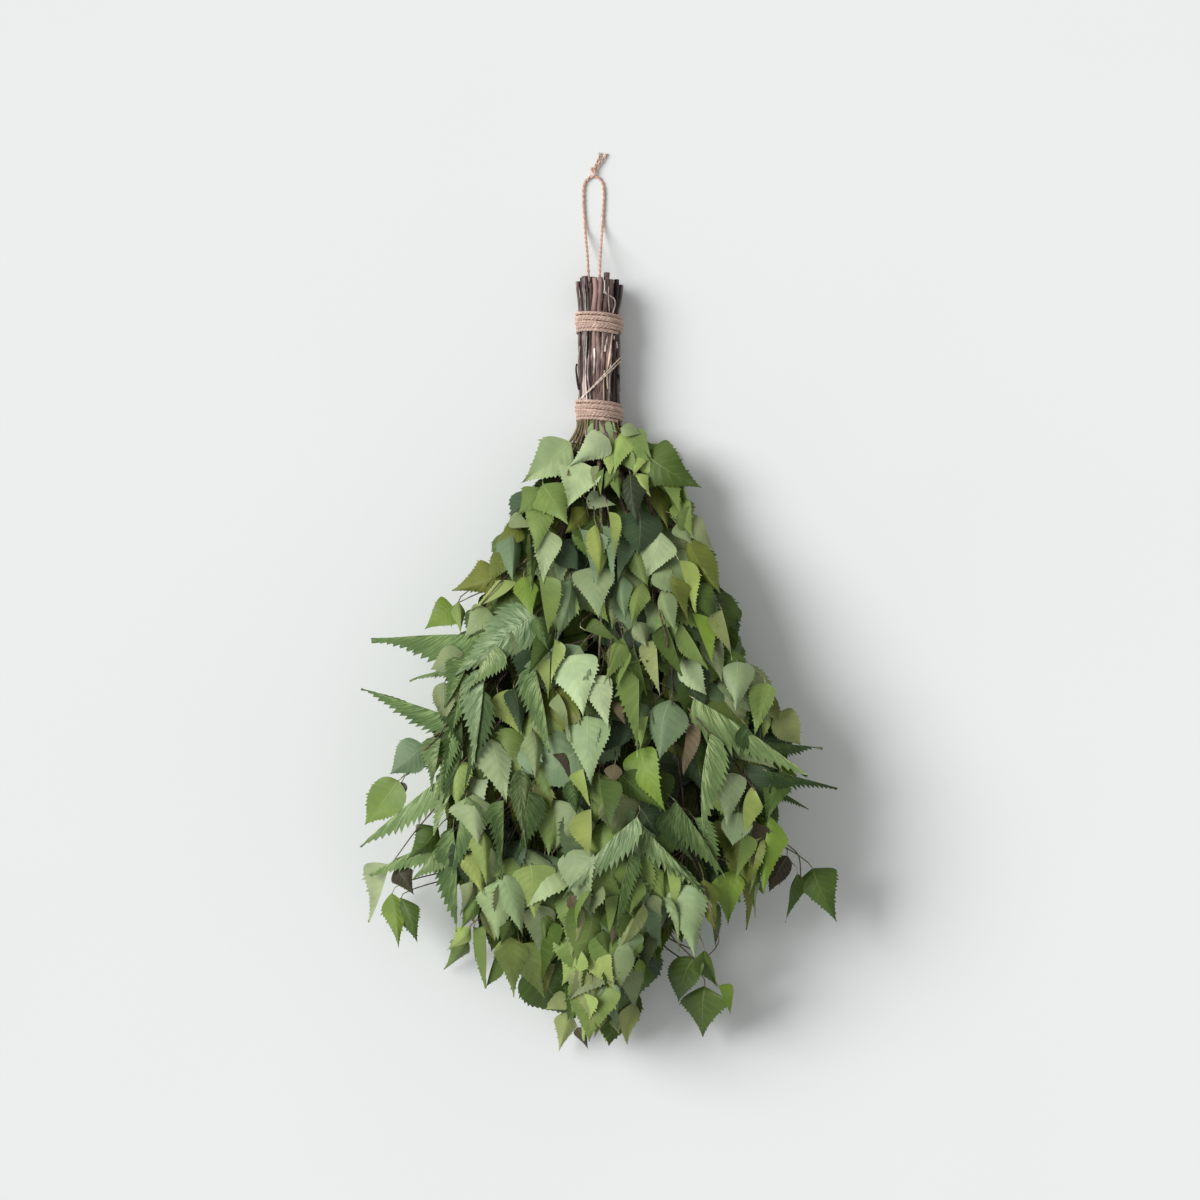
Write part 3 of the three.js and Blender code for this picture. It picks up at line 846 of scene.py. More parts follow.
class Shape:
    """A kind of blade: its outline, its teeth, and how its mesh is joined up. Lengths are shares
    of the blade's length, and columns run from the left margin to the right one."""

    def __init__(self, outline, smooth_rows, teeth, depth, uneven, hooked, quilt, veins):
        at, wide = np.array(outline).T
        step = (1 - smooth_rows[-1]) / (teeth + 0.5)
        edge, bite = list(smooth_rows), [0.0] * len(smooth_rows)
        for k in range(teeth):
            notch = smooth_rows[-1] + (k + 0.35) * step
            size = depth * (1.0 if k % 3 == 1 else 1 - uneven)
            edge += [notch, notch + 0.72 * step]
            bite += [-0.5 * size, size]
        edge.append(1.0)
        bite.append(0.0)
        self.edge = np.array(edge)
        self.half = np.maximum(np.interp(self.edge, at, wide), 0.003)
        taper = np.sqrt(self.half / self.half.max())
        self.bite = np.array(bite) * smoothstep(self.edge, 1.0, 0.88) * taper
        self.uneven = uneven
        self.hooked = hooked
        self.middle = 0.3 * self.edge + 0.7 * self.edge**2.2
        self.columns = COLUMNS
        rows, columns = len(self.edge), len(self.columns)
        self.quilt = quilt
        self.veins = veins
        top = np.arange(rows * columns).reshape(rows, columns)
        under = top.copy()
        inner = (rows - 2) * (columns - 2)
        under[1:-1, 1:-1] = rows * columns + np.arange(inner).reshape(rows - 2, columns - 2)
        self.triangles = np.concatenate([self.faces(top), self.faces(under)[:, ::-1]])
        uv = np.stack(np.broadcast_arrays(0.5 + 0.5 * self.columns[None], self.edge[:, None]), -1)
        self.uv = np.concatenate([uv.reshape(-1, 2), uv[1:-1, 1:-1].reshape(-1, 2)])

    @staticmethod
    def faces(index):
        a, b = index[:-1, :-1].ravel(), index[:-1, 1:].ravel()
        c, d = index[1:, 1:].ravel(), index[1:, :-1].ravel()
        return np.concatenate([np.stack([a, b, c], 1), np.stack([a, c, d], 1)])


def birch_shape(outline):
    return Shape(
        outline,
        smooth_rows=(0, 0.012, 0.04, 0.08, 0.13, 0.18, 0.23),
        teeth=13,
        depth=0.035,
        uneven=0.55,
        hooked=0.9,
        quilt=0.008,
        veins=8,
    )


BIRCHES = [
    birch_shape([
        (0, 0.01), (0.012, 0.12), (0.035, 0.24), (0.075, 0.335), (0.13, 0.39), (0.2, 0.405),
        (0.3, 0.375), (0.42, 0.305), (0.54, 0.23), (0.66, 0.155), (0.77, 0.095), (0.87, 0.045),
        (0.94, 0.018), (1, 0.004),
    ]),
    birch_shape([
        (0, 0.01), (0.03, 0.09), (0.09, 0.21), (0.16, 0.315), (0.24, 0.395), (0.3, 0.42),
        (0.36, 0.4), (0.46, 0.325), (0.58, 0.235), (0.7, 0.15), (0.81, 0.08), (0.9, 0.035),
        (1, 0.004),
    ]),
    birch_shape([
        (0, 0.01), (0.02, 0.13), (0.06, 0.24), (0.13, 0.34), (0.22, 0.405), (0.33, 0.43),
        (0.45, 0.415), (0.57, 0.35), (0.68, 0.255), (0.78, 0.16), (0.87, 0.08), (0.94, 0.03),
        (1, 0.004),
    ]),
]
BIRCH_SHARES = [0.45, 0.35, 0.2]
NETTLE = Shape(
    outline=[
        (0, 0.01), (0.02, 0.12), (0.06, 0.2), (0.13, 0.245), (0.22, 0.255), (0.36, 0.225),
        (0.5, 0.175), (0.62, 0.126), (0.73, 0.078), (0.82, 0.042), (0.9, 0.015), (1, 0.003),
    ],
    smooth_rows=(0, 0.012, 0.035, 0.07),
    teeth=14,
    depth=0.046,
    uneven=0.2,
    hooked=1.4,
    quilt=0.012,
    veins=10,
)


def any_birch():
    return BIRCHES[chance.choice(len(BIRCHES), p=BIRCH_SHARES)]


THICKNESS = 0.007  # as a share of the length
UP_THE_BLADE = 7  # a row of the mesh far enough from the base to tell which way the blade heads


class Leaf:
    """One blade, worked out flat and then folded, bent, turned and moved."""

    def __init__(self, shape, look, aspect, toothed=1.0):
        self.shape = shape
        self.look = look
        a = np.abs(shape.columns)[None]
        side = np.sign(shape.columns)[None]
        ragged = 1 + shape.uneven * chance.uniform(-0.9, 0.9, (len(shape.edge), len(a[0])))
        bite = shape.bite[:, None] * ragged * (a == 1) * toothed
        lopsided = 1 + side * chance.normal(0, 0.05)
        self.across = shape.half[:, None] * aspect * lopsided * a + bite
        along = shape.middle[:, None] + (shape.edge - shape.middle)[:, None] * a**1.2
        self.along = along + shape.hooked * np.maximum(bite, 0)
        self.hook = chance.normal(0, 0.06) * along**2
        wave, curl = chance.uniform(0.008, 0.034), chance.normal(0.015, 0.04)
        phase = chance.uniform(0, 6.3, 3)
        relief = wave * a**2 * np.sin(chance.uniform(5, 8) * along + side * 0.9 + phase[0])
        relief = relief - curl * a**3 * np.sin(np.pi * np.clip(along, 0, 1))
        bulge = np.abs(np.sin(np.pi * shape.veins * shape.edge + phase[1]))[:, None]
        self.relief = relief + shape.quilt * bulge * (a * (1 - a) * 4)
        self.twist = 0.25 * math.sin(phase[2])

    def form(self, fold, bend, roll, pitch, rise=0.0):
        """Folds the blade along its midrib, bends it down, and turns it over its length. Its base
        climbs by rise, in radians, so that from above the base looks short."""
        opened = fold * (1 - 0.25 * np.abs(self.shape.columns)[None])
        x = np.sign(self.shape.columns)[None] * self.across * np.cos(opened) + self.hook
        z = self.across * np.sin(opened) + self.relief
        pose = bend, rise, roll, pitch, self.twist
        self.grid = self.posed(x, self.along, z, *pose)
        self.under = self.posed(x, self.along, z - THICKNESS, *pose)
        return self

    def slimness(self):
        """How wide the blade looks from above, as a share of how long it looks."""
        return np.ptp(self.grid[..., 0]) / np.hypot(*self.grid[-1, MIDRIB_COLUMN, :2])

    @staticmethod
    def posed(x, along, z, bend, rise, roll, pitch, twist):
        u = np.linspace(0, 1.15, 47)  # along the midrib, and a little past the tip
        lean = bend * u**1.25 - rise * np.maximum(1 - u / 0.6, 0) ** 1.5
        ahead = np.concatenate([[0], np.cumsum(np.cos((lean[1:] + lean[:-1]) / 2) * u[1])])
        drop = np.concatenate([[0], np.cumsum(np.sin((lean[1:] + lean[:-1]) / 2) * u[1])])
        here = np.interp(along, u, lean)
        y = np.interp(along, u, ahead) + z * np.sin(here)
        z = z * np.cos(here) - np.interp(along, u, drop)
        spin = roll + twist * along
        x, z = x * np.cos(spin) + z * np.sin(spin), z * np.cos(spin) - x * np.sin(spin)
        y, z = y * math.cos(pitch) - z * math.sin(pitch), y * math.sin(pitch) + z * math.cos(pitch)
        return np.stack([x, y, z], -1)

    def put(self, base, tip, slope):
        """Turns and scales the blade so that, from above, it runs from base to tip. slope is how
        the ground rises across and past."""
        base, tip = np.asarray(base, float), np.asarray(tip, float)
        end = self.grid[-1, MIDRIB_COLUMN]
        want = tip - base
        scale = np.linalg.norm(want) / max(np.hypot(end[0], end[1]), 0.2)
        turn = math.atan2(want[1], want[0]) - math.atan2(end[1], end[0])
        c, s = math.cos(turn) * scale, math.sin(turn) * scale
        for name in ("grid", "under"):
            g = getattr(self, name)
            x, y = g[..., 0] * c - g[..., 1] * s, g[..., 0] * s + g[..., 1] * c
            z = g[..., 2] * scale + x * slope[0] + y * slope[1]
            setattr(self, name, np.stack([base[0] + x, base[1] + y, z], -1))
        return self

    def raised(self, by):
        self.grid[..., 2] += by
        self.under[..., 2] += by
        return self

    def samples(self):
        """Points all over the blade, close enough together to leave no cell of the pile out."""
        g = self.grid
        thirds = [g[:, :-1] * (1 - f) + g[:, 1:] * f for f in (0, 1 / 3, 2 / 3)]
        return np.concatenate([t.reshape(-1, 3) for t in thirds])

    def base(self):
        return spot(*self.grid[0, MIDRIB_COLUMN])

    def heading(self):
        return unit(spot(*self.grid[UP_THE_BLADE, MIDRIB_COLUMN]) - self.base())

    def mesh(self):
        shown = LOOK_COLOURS[self.look] * chance.uniform(0.9, 1.1) * chance.uniform(0.97, 1.03, 3)
        other = "mid" if self.look in PALE_LOOKS else "mist"
        if self.look in ("brown", "umber"):
            other = "brown"
        hidden = LOOK_COLOURS[other] * chance.uniform(0.88, 1.1)
        top, under = self.grid.reshape(-1, 3), self.under[1:-1, 1:-1].reshape(-1, 3)
        points = np.concatenate([top, under]) * [1, -1, 1] + [AXIS_X, THROAT_Y, 0]
        colours = np.concatenate([np.tile(shown, (len(top), 1)), np.tile(hidden, (len(under), 1))])
        return points, self.shape.triangles[:, ::-1], self.shape.uv, colours


# ---- The pile that the leaves make ----

CELL = 2.0
SCAN = 3  # cells, across and past, that share one look at the CAD model
FROM_ACROSS, FROM_PAST = -176.0, -24.0
CELLS_ACROSS, CELLS_PAST = 176, 226


def blurred(field, times):
    for _ in range(times):
        p = np.pad(field, 1, mode="edge")
        field = (p[:-2, 1:-1] + p[2:, 1:-1] + p[1:-1, :-2] + p[1:-1, 2:] + 2 * field) / 6
    return field


def cell_of(across, past):
    i = np.clip(((across - FROM_ACROSS) / CELL).astype(int), 0, CELLS_ACROSS - 1)
    j = np.clip(((past - FROM_PAST) / CELL).astype(int), 0, CELLS_PAST - 1)
    return i, j


def scan_cad():
    """The lowest and highest point of the CAD branches over each cell, NaN where there is none."""
    trees = []
    for branch in BRANCHES:
        for node in (branch.spray, branch.stem):
            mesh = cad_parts[node].data
            points = [v.co / MM for v in mesh.vertices]
            trees.append(BVHTree.FromPolygons(points, [tuple(p.vertices) for p in mesh.polygons]))
    top = np.full((CELLS_ACROSS, CELLS_PAST), np.nan)
    bottom = top.copy()
    down, up = Vector((0, 0, -1)), Vector((0, 0, 1))
    for i in range(0, CELLS_ACROSS, SCAN):
        for j in range(0, CELLS_PAST, SCAN):
            across, past = FROM_ACROSS + (i + SCAN / 2) * CELL, FROM_PAST + (j + SCAN / 2) * CELL
            above, below = Vector(spot(across, past, 300)), Vector(spot(across, past, -50))
            crossed = [tree for tree in trees if tree.ray_cast(above, down)[0]]
            if crossed:
                cells = slice(i, i + SCAN), slice(j, j + SCAN)
                top[cells] = max(tree.ray_cast(above, down)[0].z for tree in crossed)
                bottom[cells] = min(tree.ray_cast(below, up)[0].z for tree in crossed)
    return bottom, top


def spread_out(field):
    """Fills the empty cells from their nearest neighbours."""
    field = field.copy()
    while np.isnan(field).any():
        p = np.pad(field, 1, constant_values=np.nan)
        around = np.stack([p[:-2, 1:-1], p[2:, 1:-1], p[1:-1, :-2], p[1:-1, 2:]])
        known = ~np.isnan(around)
        total = np.where(known, around, 0).sum(0)
        mean = total / np.maximum(known.sum(0), 1)
        field = np.where(np.isnan(field) & known.any(0), mean, field)
    return field


BOTTOM, TOP = scan_cad()
TOP = blurred(spread_out(TOP), times=40)
BOTTOM = np.maximum(blurred(spread_out(BOTTOM), times=12), 0)
SLOPE_ACROSS, SLOPE_PAST = (g / CELL for g in np.gradient(blurred(TOP, times=60)))


def value_at(field, across, past):
    return float(field[cell_of(np.array(across), np.array(past))])


CEILING = 104  # the leaves stay lower than this
CLEAR = 96  # the percentage of a leaf that is above the pile when it rests there


class Pile:
    """How high the leaves reach over each cell so far."""

    def __init__(self, height):
        self.height = height.copy()

    def settle(self, leaf, want, slack):
        """Rests a leaf on the pile, within slack of the height wanted for its middle."""
        points = leaf.samples()
        cells = cell_of(points[:, 0], points[:, 1])
        rest = np.percentile(self.height[cells] - points[:, 2], CLEAR) + 0.5
        middle = points[:, 2].mean()
        rest = min(max(rest, want - slack - middle), want + slack - middle)
        rest = min(rest, CEILING - points[:, 2].max())
        leaf.raised(rest)
        np.maximum.at(self.height, cells, points[:, 2] + rest)
        return leaf


def limited_slope(across, past, share=1.0, most=0.8):
    slope = np.array([value_at(SLOPE_ACROSS, across, past), value_at(SLOPE_PAST, across, past)])
    return np.clip(slope * share, -most, most)


# The blades that show from above, lowest first: where each one's base and tip are (across and
# past the throat), how wide it looks, and its look.
TOP_BIRCH = [
    # the tips of the bundle
    (-14, 386, -7, 400, 8, "umber"), (3, 372, -3, 391, 10, "olive"), (10, 379, 13, 391, 9, "khaki"),
    (22, 370, 18, 398, 15, "khaki"), (8, 354, 12, 385, 15, "blue"), (-20, 376, -26, 405, 16, "khaki"),
    (-12, 361, -10, 394, 14, "light"), (-20, 366, -37, 376, 14, "khaki"),
    (20, 346, 23, 374, 16, "grey"), (-28, 344, -35, 367, 11, "olive"),
    (-5, 349, -2, 384, 19, "khaki"), (-10, 345, -18, 376, 18, "khaki"),
    (25, 340, 28, 356, 8, "bright"), (30, 330, 37, 342, 10, "deep"), (-72, 318, -73, 360, 11, "mid"),
    (-66, 338, -72, 359, 9, "deep"), (-58, 325, -54, 365, 23, "light"),
    (-50, 330, -35, 367, 24, "light"), (-12, 333, -24, 358, 18, "light"),
    (-3, 334, 11, 361, 19, "light"), (-80, 320, -79, 343, 10, "deep"),
    (-86, 328, -101, 352, 15, "mid"), (-82, 320, -98, 337, 14, "light"),
    # the sprig at the lower right
    (61, 340, 51, 371, 22, "deep"), (67, 335, 76, 360, 13, "deep"), (76, 358, 84, 377, 9, "bright"),
    (68, 360, 67, 394, 32, "deep"),
    # the sprig at the left
    (-134, 281, -149, 321, 17, "pale"), (-130, 283, -118, 300, 17, "umber"),
    (-127, 303, -116, 331, 20, "deep"), (-133, 300, -128, 334, 19, "bright"),
    # the sprig at the right
    (127, 287, 119, 318, 10, "deep"), (137, 284, 152, 318, 26, "deep"),
    # lower middle
    (22, 322, 12, 348, 16, "mist"), (2, 321, 6, 336, 10, "deep"), (10, 318, 8, 331, 7, "brown"),
    (-24, 317, -35, 347, 18, "mid"), (28, 304, 14, 332, 13, "khaki"), (29, 305, 40, 334, 18, "blue"),
    (40, 300, 51, 335, 13, "mid"), (-10, 304, -18, 338, 19, "khaki"),
    (-38, 305, -36, 343, 22, "mist"), (-74, 309, -66, 328, 11, "khaki"),
    (-56, 312, -62, 330, 12, "deep"), (-77, 300, -88, 322, 13, "mid"),
    (70, 303, 74, 333, 5, "deep"), (52, 292, 61, 340, 28, "mist"), (66, 288, 75, 322, 19, "olive"),
    (12, 298, 6, 322, 9, "mid"), (33, 298, 40, 313, 11, "grey"), (-63, 289, -64, 327, 29, "mist"),
    (-18, 298, -12, 313, 10, "brown"), (26, 288, 19, 311, 14, "mid"),
    (86, 284, 82, 318, 23, "bright"), (100, 283, 94, 322, 9, "olive"), (104, 292, 100, 315, 7, "bright"),
    (-80, 289, -88, 312, 13, "grey"), (-60, 285, -48, 325, 23, "mist"), (-43, 279, -41, 313, 30, "light"),
    (42, 278, 47, 307, 9, "light"), (30, 280, 42, 301, 17, "mid"), (120, 275, 108, 298, 16, "umber"),
    (-83, 270, -73, 298, 17, "lime"), (-16, 269, -5, 312, 25, "mist"),
    # middle
    (90, 259, 86, 291, 12, "mid"), (104, 262, 95, 298, 6, "light"), (108, 249, 104, 298, 23, "bright"),
    (97, 252, 97, 280, 12, "umber"), (-102, 256, -122, 277, 23, "deep"), (88, 246, 84, 267, 21, "mist"),
    (-5, 243, -6, 273, 12, "lime"), (-80, 235, -76, 266, 31, "mist"), (-74, 256, -71, 292, 17, "light"),
    (97, 229, 93, 262, 12, "lime"),
    (-27, 238, -32, 273, 31, "mid"), (-126, 228, -126, 238, 8, "umber"), (0, 224, 9, 258, 16, "deep"),
    (-128, 227, -150, 256, 27, "mid"), (14, 222, 42, 245, 19, "deep"), (-10, 218, -6, 241, 10, "lime"),
    (116, 221, 105, 253, 20, "deep"), (83, 221, 80, 254, 22, "mist"), (10, 215, 8, 230, 12, "brown"),
    (-90, 213, -90, 244, 21, "light"), (-33, 210, -30, 243, 17, "mid"), (26, 206, 42, 245, 23, "bright"),
    (-25, 203, -17, 228, 13, "umber"), (-112, 204, -133, 223, 25, "blue"),
    (80, 199, 113, 219, 19, "grey"), (-68, 200, -58, 240, 25, "mist"), (-42, 194, -40, 226, 18, "grey"),
    (57, 187, 53, 222, 11, "brown"), (-7, 185, -5, 228, 29, "mist"), (31, 185, 26, 206, 9, "light"),
    (116, 183, 129, 205, 21, "khaki"), (8, 176, 17, 190, 9, "brown"), (45, 175, 38, 212, 29, "blue"),
    (-26, 171, -19, 201, 12, "grey"), (-64, 171, -48, 198, 21, "lime"), (106, 165, 98, 199, 17, "mid"),
    (-54, 168, -50, 197, 15, "dusk"), (-98, 164, -98, 190, 16, "grey"), (-2, 160, 6, 193, 19, "pale"),
    # upper middle
    (18, 153, 19, 192, 8, "mid"), (88, 151, 86, 183, 23, "mist"), (25, 150, 24, 211, 14, "mid"),
    (-31, 149, -32, 174, 9, "light"), (53, 149, 68, 172, 18, "pale"), (-18, 147, -10, 185, 32, "pale"),
    (-86, 146, -107, 156, 20, "grey"), (15, 143, 12, 167, 10, "mid"), (22, 142, 30, 172, 14, "deep"),
    (36, 137, 38, 172, 13, "khaki"), (-28, 137, -30, 168, 9, "light"), (15, 136, 3, 165, 16, "mid"),
    (70, 135, 78, 166, 15, "grey"), (-30, 134, -45, 160, 13, "deep"), (-9, 131, 16, 140, 11, "deep"),
    (52, 127, 68, 156, 13, "mid"), (42, 127, 52, 160, 14, "deep"), (24, 126, 30, 142, 13, "grey"),
    (59, 120, 72, 153, 12, "bright"), (78, 118, 84, 150, 13, "khaki"), (-72, 117, -86, 137, 17, "grey"),
    (-94, 116, -112, 131, 21, "bright"), (-90, 113, -88, 134, 10, "mid"), (40, 106, 48, 131, 14, "grey"),
    (62, 102, 74, 127, 17, "deep"), (28, 101, 20, 129, 16, "mid"), (-52, 100, -82, 118, 10, "light"),
    (-18, 99, -27, 139, 20, "blue"), (-48, 97, -42, 123, 17, "bright"), (-38, 97, -32, 133, 15, "mid"),
    (14, 96, 17, 125, 14, "blue"), (47, 97, 57, 126, 15, "olive"), (-62, 94, -94, 106, 25, "olive"),
    (-3, 91, 0, 124, 27, "mist"), (51, 87, 61, 120, 12, "lime"), (67, 86, 76, 101, 10, "olive"),
    # round the throat
    (-60, 83, -72, 103, 15, "olive"), (22, 79, 31, 103, 18, "mid"), (-27, 77, -13, 93, 17, "dusk"),
    (57, 74, 77, 108, 18, "olive"), (12, 71, 12, 101, 13, "blue"), (-44, 70, -43, 109, 12, "mid"),
    (40, 69, 30, 99, 28, "pale"), (-32, 68, -35, 102, 20, "pale"), (-12, 67, -3, 101, 16, "blue"),
    (-50, 65, -69, 80, 15, "olive"), (-57, 66, -55, 100, 18, "blue"), (2, 65, 9, 102, 13, "blue"),
    (-2, 64, 0, 98, 16, "lime"), (50, 63, 60, 77, 13, "grey"), (58, 61, 73, 80, 15, "grey"),
    (-57, 60, -42, 66, 11, "grey"), (50, 58, 64, 62, 18, "mid"), (6, 56, 10, 86, 7, "lime"),
    (25, 54, 25, 84, 31, "dusk"), (-8, 53, -22, 70, 16, "olive"), (-38, 51, -40, 83, 19, "mid"),
    (-8, 47, 11, 51, 13, "pale"), (-36, 38, -20, 64, 29, "mid"), (36, 35, 44, 67, 19, "olive"),
    (-38, 40, -52, 58, 20, "mid"), (52, 49, 60, 72, 15, "mid"), (20, 31, 25, 64, 19, "shade"),
    (37, 32, 53, 57, 12, "mid"), (24, 31, 33, 46, 12, "light"), (-10, 24, -20, 53, 30, "pale"),
    (10, 31, 13, 47, 8, "mid"), (12, 28, 3, 41, 9, "mid"), (3, 28, 1, 45, 5, "mid"),
    (0, 26, -3, 43, 5, "grey"), (-3, 27, -8, 41, 5, "light"), (8, 22, 10, 37, 9, "olive"),
    (29, 21, 41, 35, 14, "light"), (31, 19, 66, 40, 32, "deep"), (-18, 11, -50, 37, 31, "mist"),
    (20, 14, 33, 23, 12, "mid"), (20, 5, 34, 21, 18, "mid"), (17, 3, 9, 34, 16, "light"),
    (14, 1, 27, 5, 10, "grey"), (6, 8, -19, 26, 21, "pale"), (-1, -4, 10, 24, 19, "mist"),
    (-6, -6, -5, 9, 8, "mid"), (8, 16, 7, 33, 12, "light"), (16, 14, 24, 31, 11, "mid"),
    (27, 17, 22, 33, 9, "light"),
]
# Nettle blades, with the side of the midrib, right or left of base to tip, that shows (0: both).
TOP_NETTLE = [
    (-92, 255, -91, 322, 14, "nettle", -1), (-95, 262, -119, 290, 12, "nettle light", 1),
    (-103, 264, -147, 288, 9, "nettle light", 1), (20, 270, 11, 318, 10, "nettle", 1),
    (28, 256, 71, 306, 14, "nettle light", -1), (26, 262, 38, 285, 6, "nettle", 1),
    (60, 249, 77, 291, 12, "nettle", 1), (48, 238, 80, 288, 15, "nettle", -1),
    (45, 243, 58, 276, 13, "nettle dark", -1), (24, 248, -23, 299, 15, "nettle pale", 1),
    (-100, 228, -120, 251, 15, "nettle dark", 1), (-98, 223, -153, 270, 13, "nettle light", 1),
    (-17, 225, -14, 248, 13, "nettle dark", 0), (108, 229, 133, 245, 6, "nettle dark", -1),
    (106, 220, 152, 232, 9, "nettle dark", -1), (-50, 219, -46, 266, 15, "nettle light", 0),
    (106, 202, 143, 207, 6, "nettle dark", -1), (70, 196, 66, 260, 13, "nettle light", 1),
    (-100, 199, -106, 233, 13, "nettle light", -1), (-90, 187, -153, 169, 16, "nettle", 1),
    (60, 174, 132, 223, 17, "nettle light", -1), (-88, 176, -86, 212, 15, "nettle dark", -1),
    (-41, 153, -31, 208, 17, "nettle light", -1), (-82, 150, -98, 180, 14, "nettle", -1),
    (-72, 155, -79, 216, 13, "nettle pale", -1), (-80, 151, -121, 164, 8, "nettle light", 1),
    (-74, 134, -146, 138, 15, "nettle", 1), (-40, 123, -32, 144, 13, "nettle", 0),
    (-41, 121, -92, 160, 35, "nettle pale", 0), (-84, 196, -98, 240, 14, "nettle dark", -1),
    (92, 190, 110, 218, 12, "nettle dark", -1),
    (-86, 158, -93, 198, 12, "nettle", 1), (-76, 168, -84, 230, 12, "nettle dark", 1),
    (-94, 194, -101, 238, 11, "nettle", 1), (-88, 214, -105, 260, 12, "nettle light", -1),
    (-84, 236, -92, 284, 12, "nettle", 1), (-60, 238, -62, 288, 12, "nettle", -1),
    (-44, 232, -52, 276, 12, "nettle dark", 1), (-66, 140, -84, 172, 15, "nettle light", 1),
]


TUCKED_RING = 12.8  # how far leaves held under the lower binding are from the handle's axis


def tucked_height(across):
    return AXIS_UP + math.sqrt(TUCKED_RING**2 - across**2)


def lie(row):
    """How the ground rises, across and past, under a blade that shows."""
    across, past, tip_across, tip_past = row[:4]
    if past > 0:
        return limited_slope((across + tip_across) / 2, (past + tip_past) / 2)
    climb = value_at(TOP, tip_across, tip_past) - 2 - tucked_height(across)
    return 0.0, climb / (tip_past - past)


FORESHORTENED = 0.94  # how long a blade that hangs a little looks, as a share of its length
NARROW, BROAD = 0.66, 1.2  # how much narrower or broader than its kind a flat blade may be
HALF_NARROW, HALF_BROAD = 0.55, 1.5  # and a shut one
MOST_FOLD = 1.2  # radians
FITTING_STEPS = 5
LIFTED = 0.12  # radians: how far the tip of a blade is up, before it is bent


def shown_leaf(shape, row):
    """A blade whose shape, fold, roll and pitch make it look as long and wide as its row says."""
    across, past, tip_across, tip_past, width, look = row
    long = math.hypot(tip_across - across, tip_past - past)
    natural = 2 * shape.half.max()
    wanted = width / long
    aspect = min(max(FORESHORTENED * wanted / natural, NARROW), BROAD)
    leaf = Leaf(shape, look, aspect, min(1.0, 2 * wanted))
    closed = math.acos(min(1.0, wanted / natural / aspect))
    steep = math.acos(min(1.0, aspect * natural / FORESHORTENED / wanted))
    turned = chance.choice([-1, 1], p=[0.75, 0.25])
    facing = 1 if across + chance.normal(0, 25) < 0 else -1
    more_fold = chance.normal(-0.08, 0.08)
    bend = abs(chance.normal(0.26, 0.14))
    rise = float(np.clip(chance.normal(0.5, 0.3), 0.05, 1.1)) * (shape is not NETTLE)
    for _ in range(FITTING_STEPS):
        fold = min(closed * 0.8, MOST_FOLD) * turned
        roll = math.acos(min(1.0, math.cos(closed) / max(math.cos(fold), 0.3)))
        leaf.form(fold + more_fold, bend, facing * (roll + 0.1), LIFTED - steep, rise)
        excess = (leaf.slimness() - wanted) / (natural * aspect)
        closed = min(max(closed + excess / max(math.sin(closed), 0.45), 0.0), 1.5)
    return leaf.put((across, past), (tip_across, tip_past), lie(row))


SHUT = 1.2  # radians: how far each half of a shut blade is folded down


def half_leaf(shape, row, side):
    """A blade folded shut along its midrib, of which only the half on one side shows."""
    across, past, tip_across, tip_past, width, look = row
    long = math.hypot(tip_across - across, tip_past - past)
    aspect = min(max(width / long / shape.half.max() * 0.9, HALF_NARROW), HALF_BROAD)
    bend = abs(chance.normal(0.2, 0.1))
    roll = -side * (SHUT - chance.uniform(0.05, 0.25))
    leaf = Leaf(shape, look, aspect).form(-SHUT, bend, roll, LIFTED)
    return leaf.put((across, past), (tip_across, tip_past), lie(row))


USUAL_LEAF = 38
TO_MIDDLE = 18  # from a usual leaf's base
FAN_CENTRE = 190  # how far before the throat the lines that the leaves follow meet
EDGE_FAN_CENTRE = 400  # and for the leaves along the edges


def random_leaf(across, past, heading, looks, flat=1.0, slope=(0, 0)):
    """A birch leaf of about the usual size and shape. flat is how much it is folded and bent."""
    long = USUAL_LEAF * chance.uniform(0.84, 1.18)
    fold = chance.normal(-0.1, 0.3) * flat
    bend = chance.normal(0.5, 0.25) * flat
    roll = chance.normal(0, 0.35) * flat
    look = str(chance.choice(looks))
    aspect = chance.uniform(0.9, 1.12)
    rise = chance.uniform(0.2, 1.0) * flat
    leaf = Leaf(any_birch(), look, aspect).form(fold, bend, roll, 0.1 * flat, rise)
    return leaf.put((across, past), onward(across, past, heading, long), slope)


def onward(across, past, heading, long):
    """The place that is so far from another along a heading."""
    return across + long * math.sin(heading), past + long * math.cos(heading)


def fan_heading(across, past, spread):
    """The way that the bundle fans out at a place, give or take."""
    return math.atan2(across, past + FAN_CENTRE) * 1.1 + chance.normal(0, spread)


ELBOW_ROOM = 13  # the least distance from the base of a leaf to the bases of
NEIGHBOURS = 40  # this many leaves placed just before it


def random_places(count, margin, past_from, past_to, spread):
    """Bases and headings of leaves that stay inside the thick part of the bundle, spread evenly."""
    found = []
    while len(found) < count:
        across, past = chance.uniform(-WIDEST, WIDEST), chance.uniform(past_from, past_to)
        heading = fan_heading(across, past, spread)
        tip = onward(across, past, heading, USUAL_LEAF)
        if in_body(across, past, margin) and in_body(*tip, margin):
            crowd = [math.hypot(across - x, past - y) for x, y, _ in found[-NEIGHBOURS:]]
            if not crowd or min(crowd) > ELBOW_ROOM:
                found.append((across, past, heading))
    return found


def give(leaf):
    """Gives a leaf to the branch of its kind that is nearest to its base."""
    kind = leaf.shape is NETTLE
    base = leaf.base()
    near = [b for b in BRANCHES if b.nettle == kind]
    min(near, key=lambda branch: branch.nearest(base)).leaves.append(leaf)


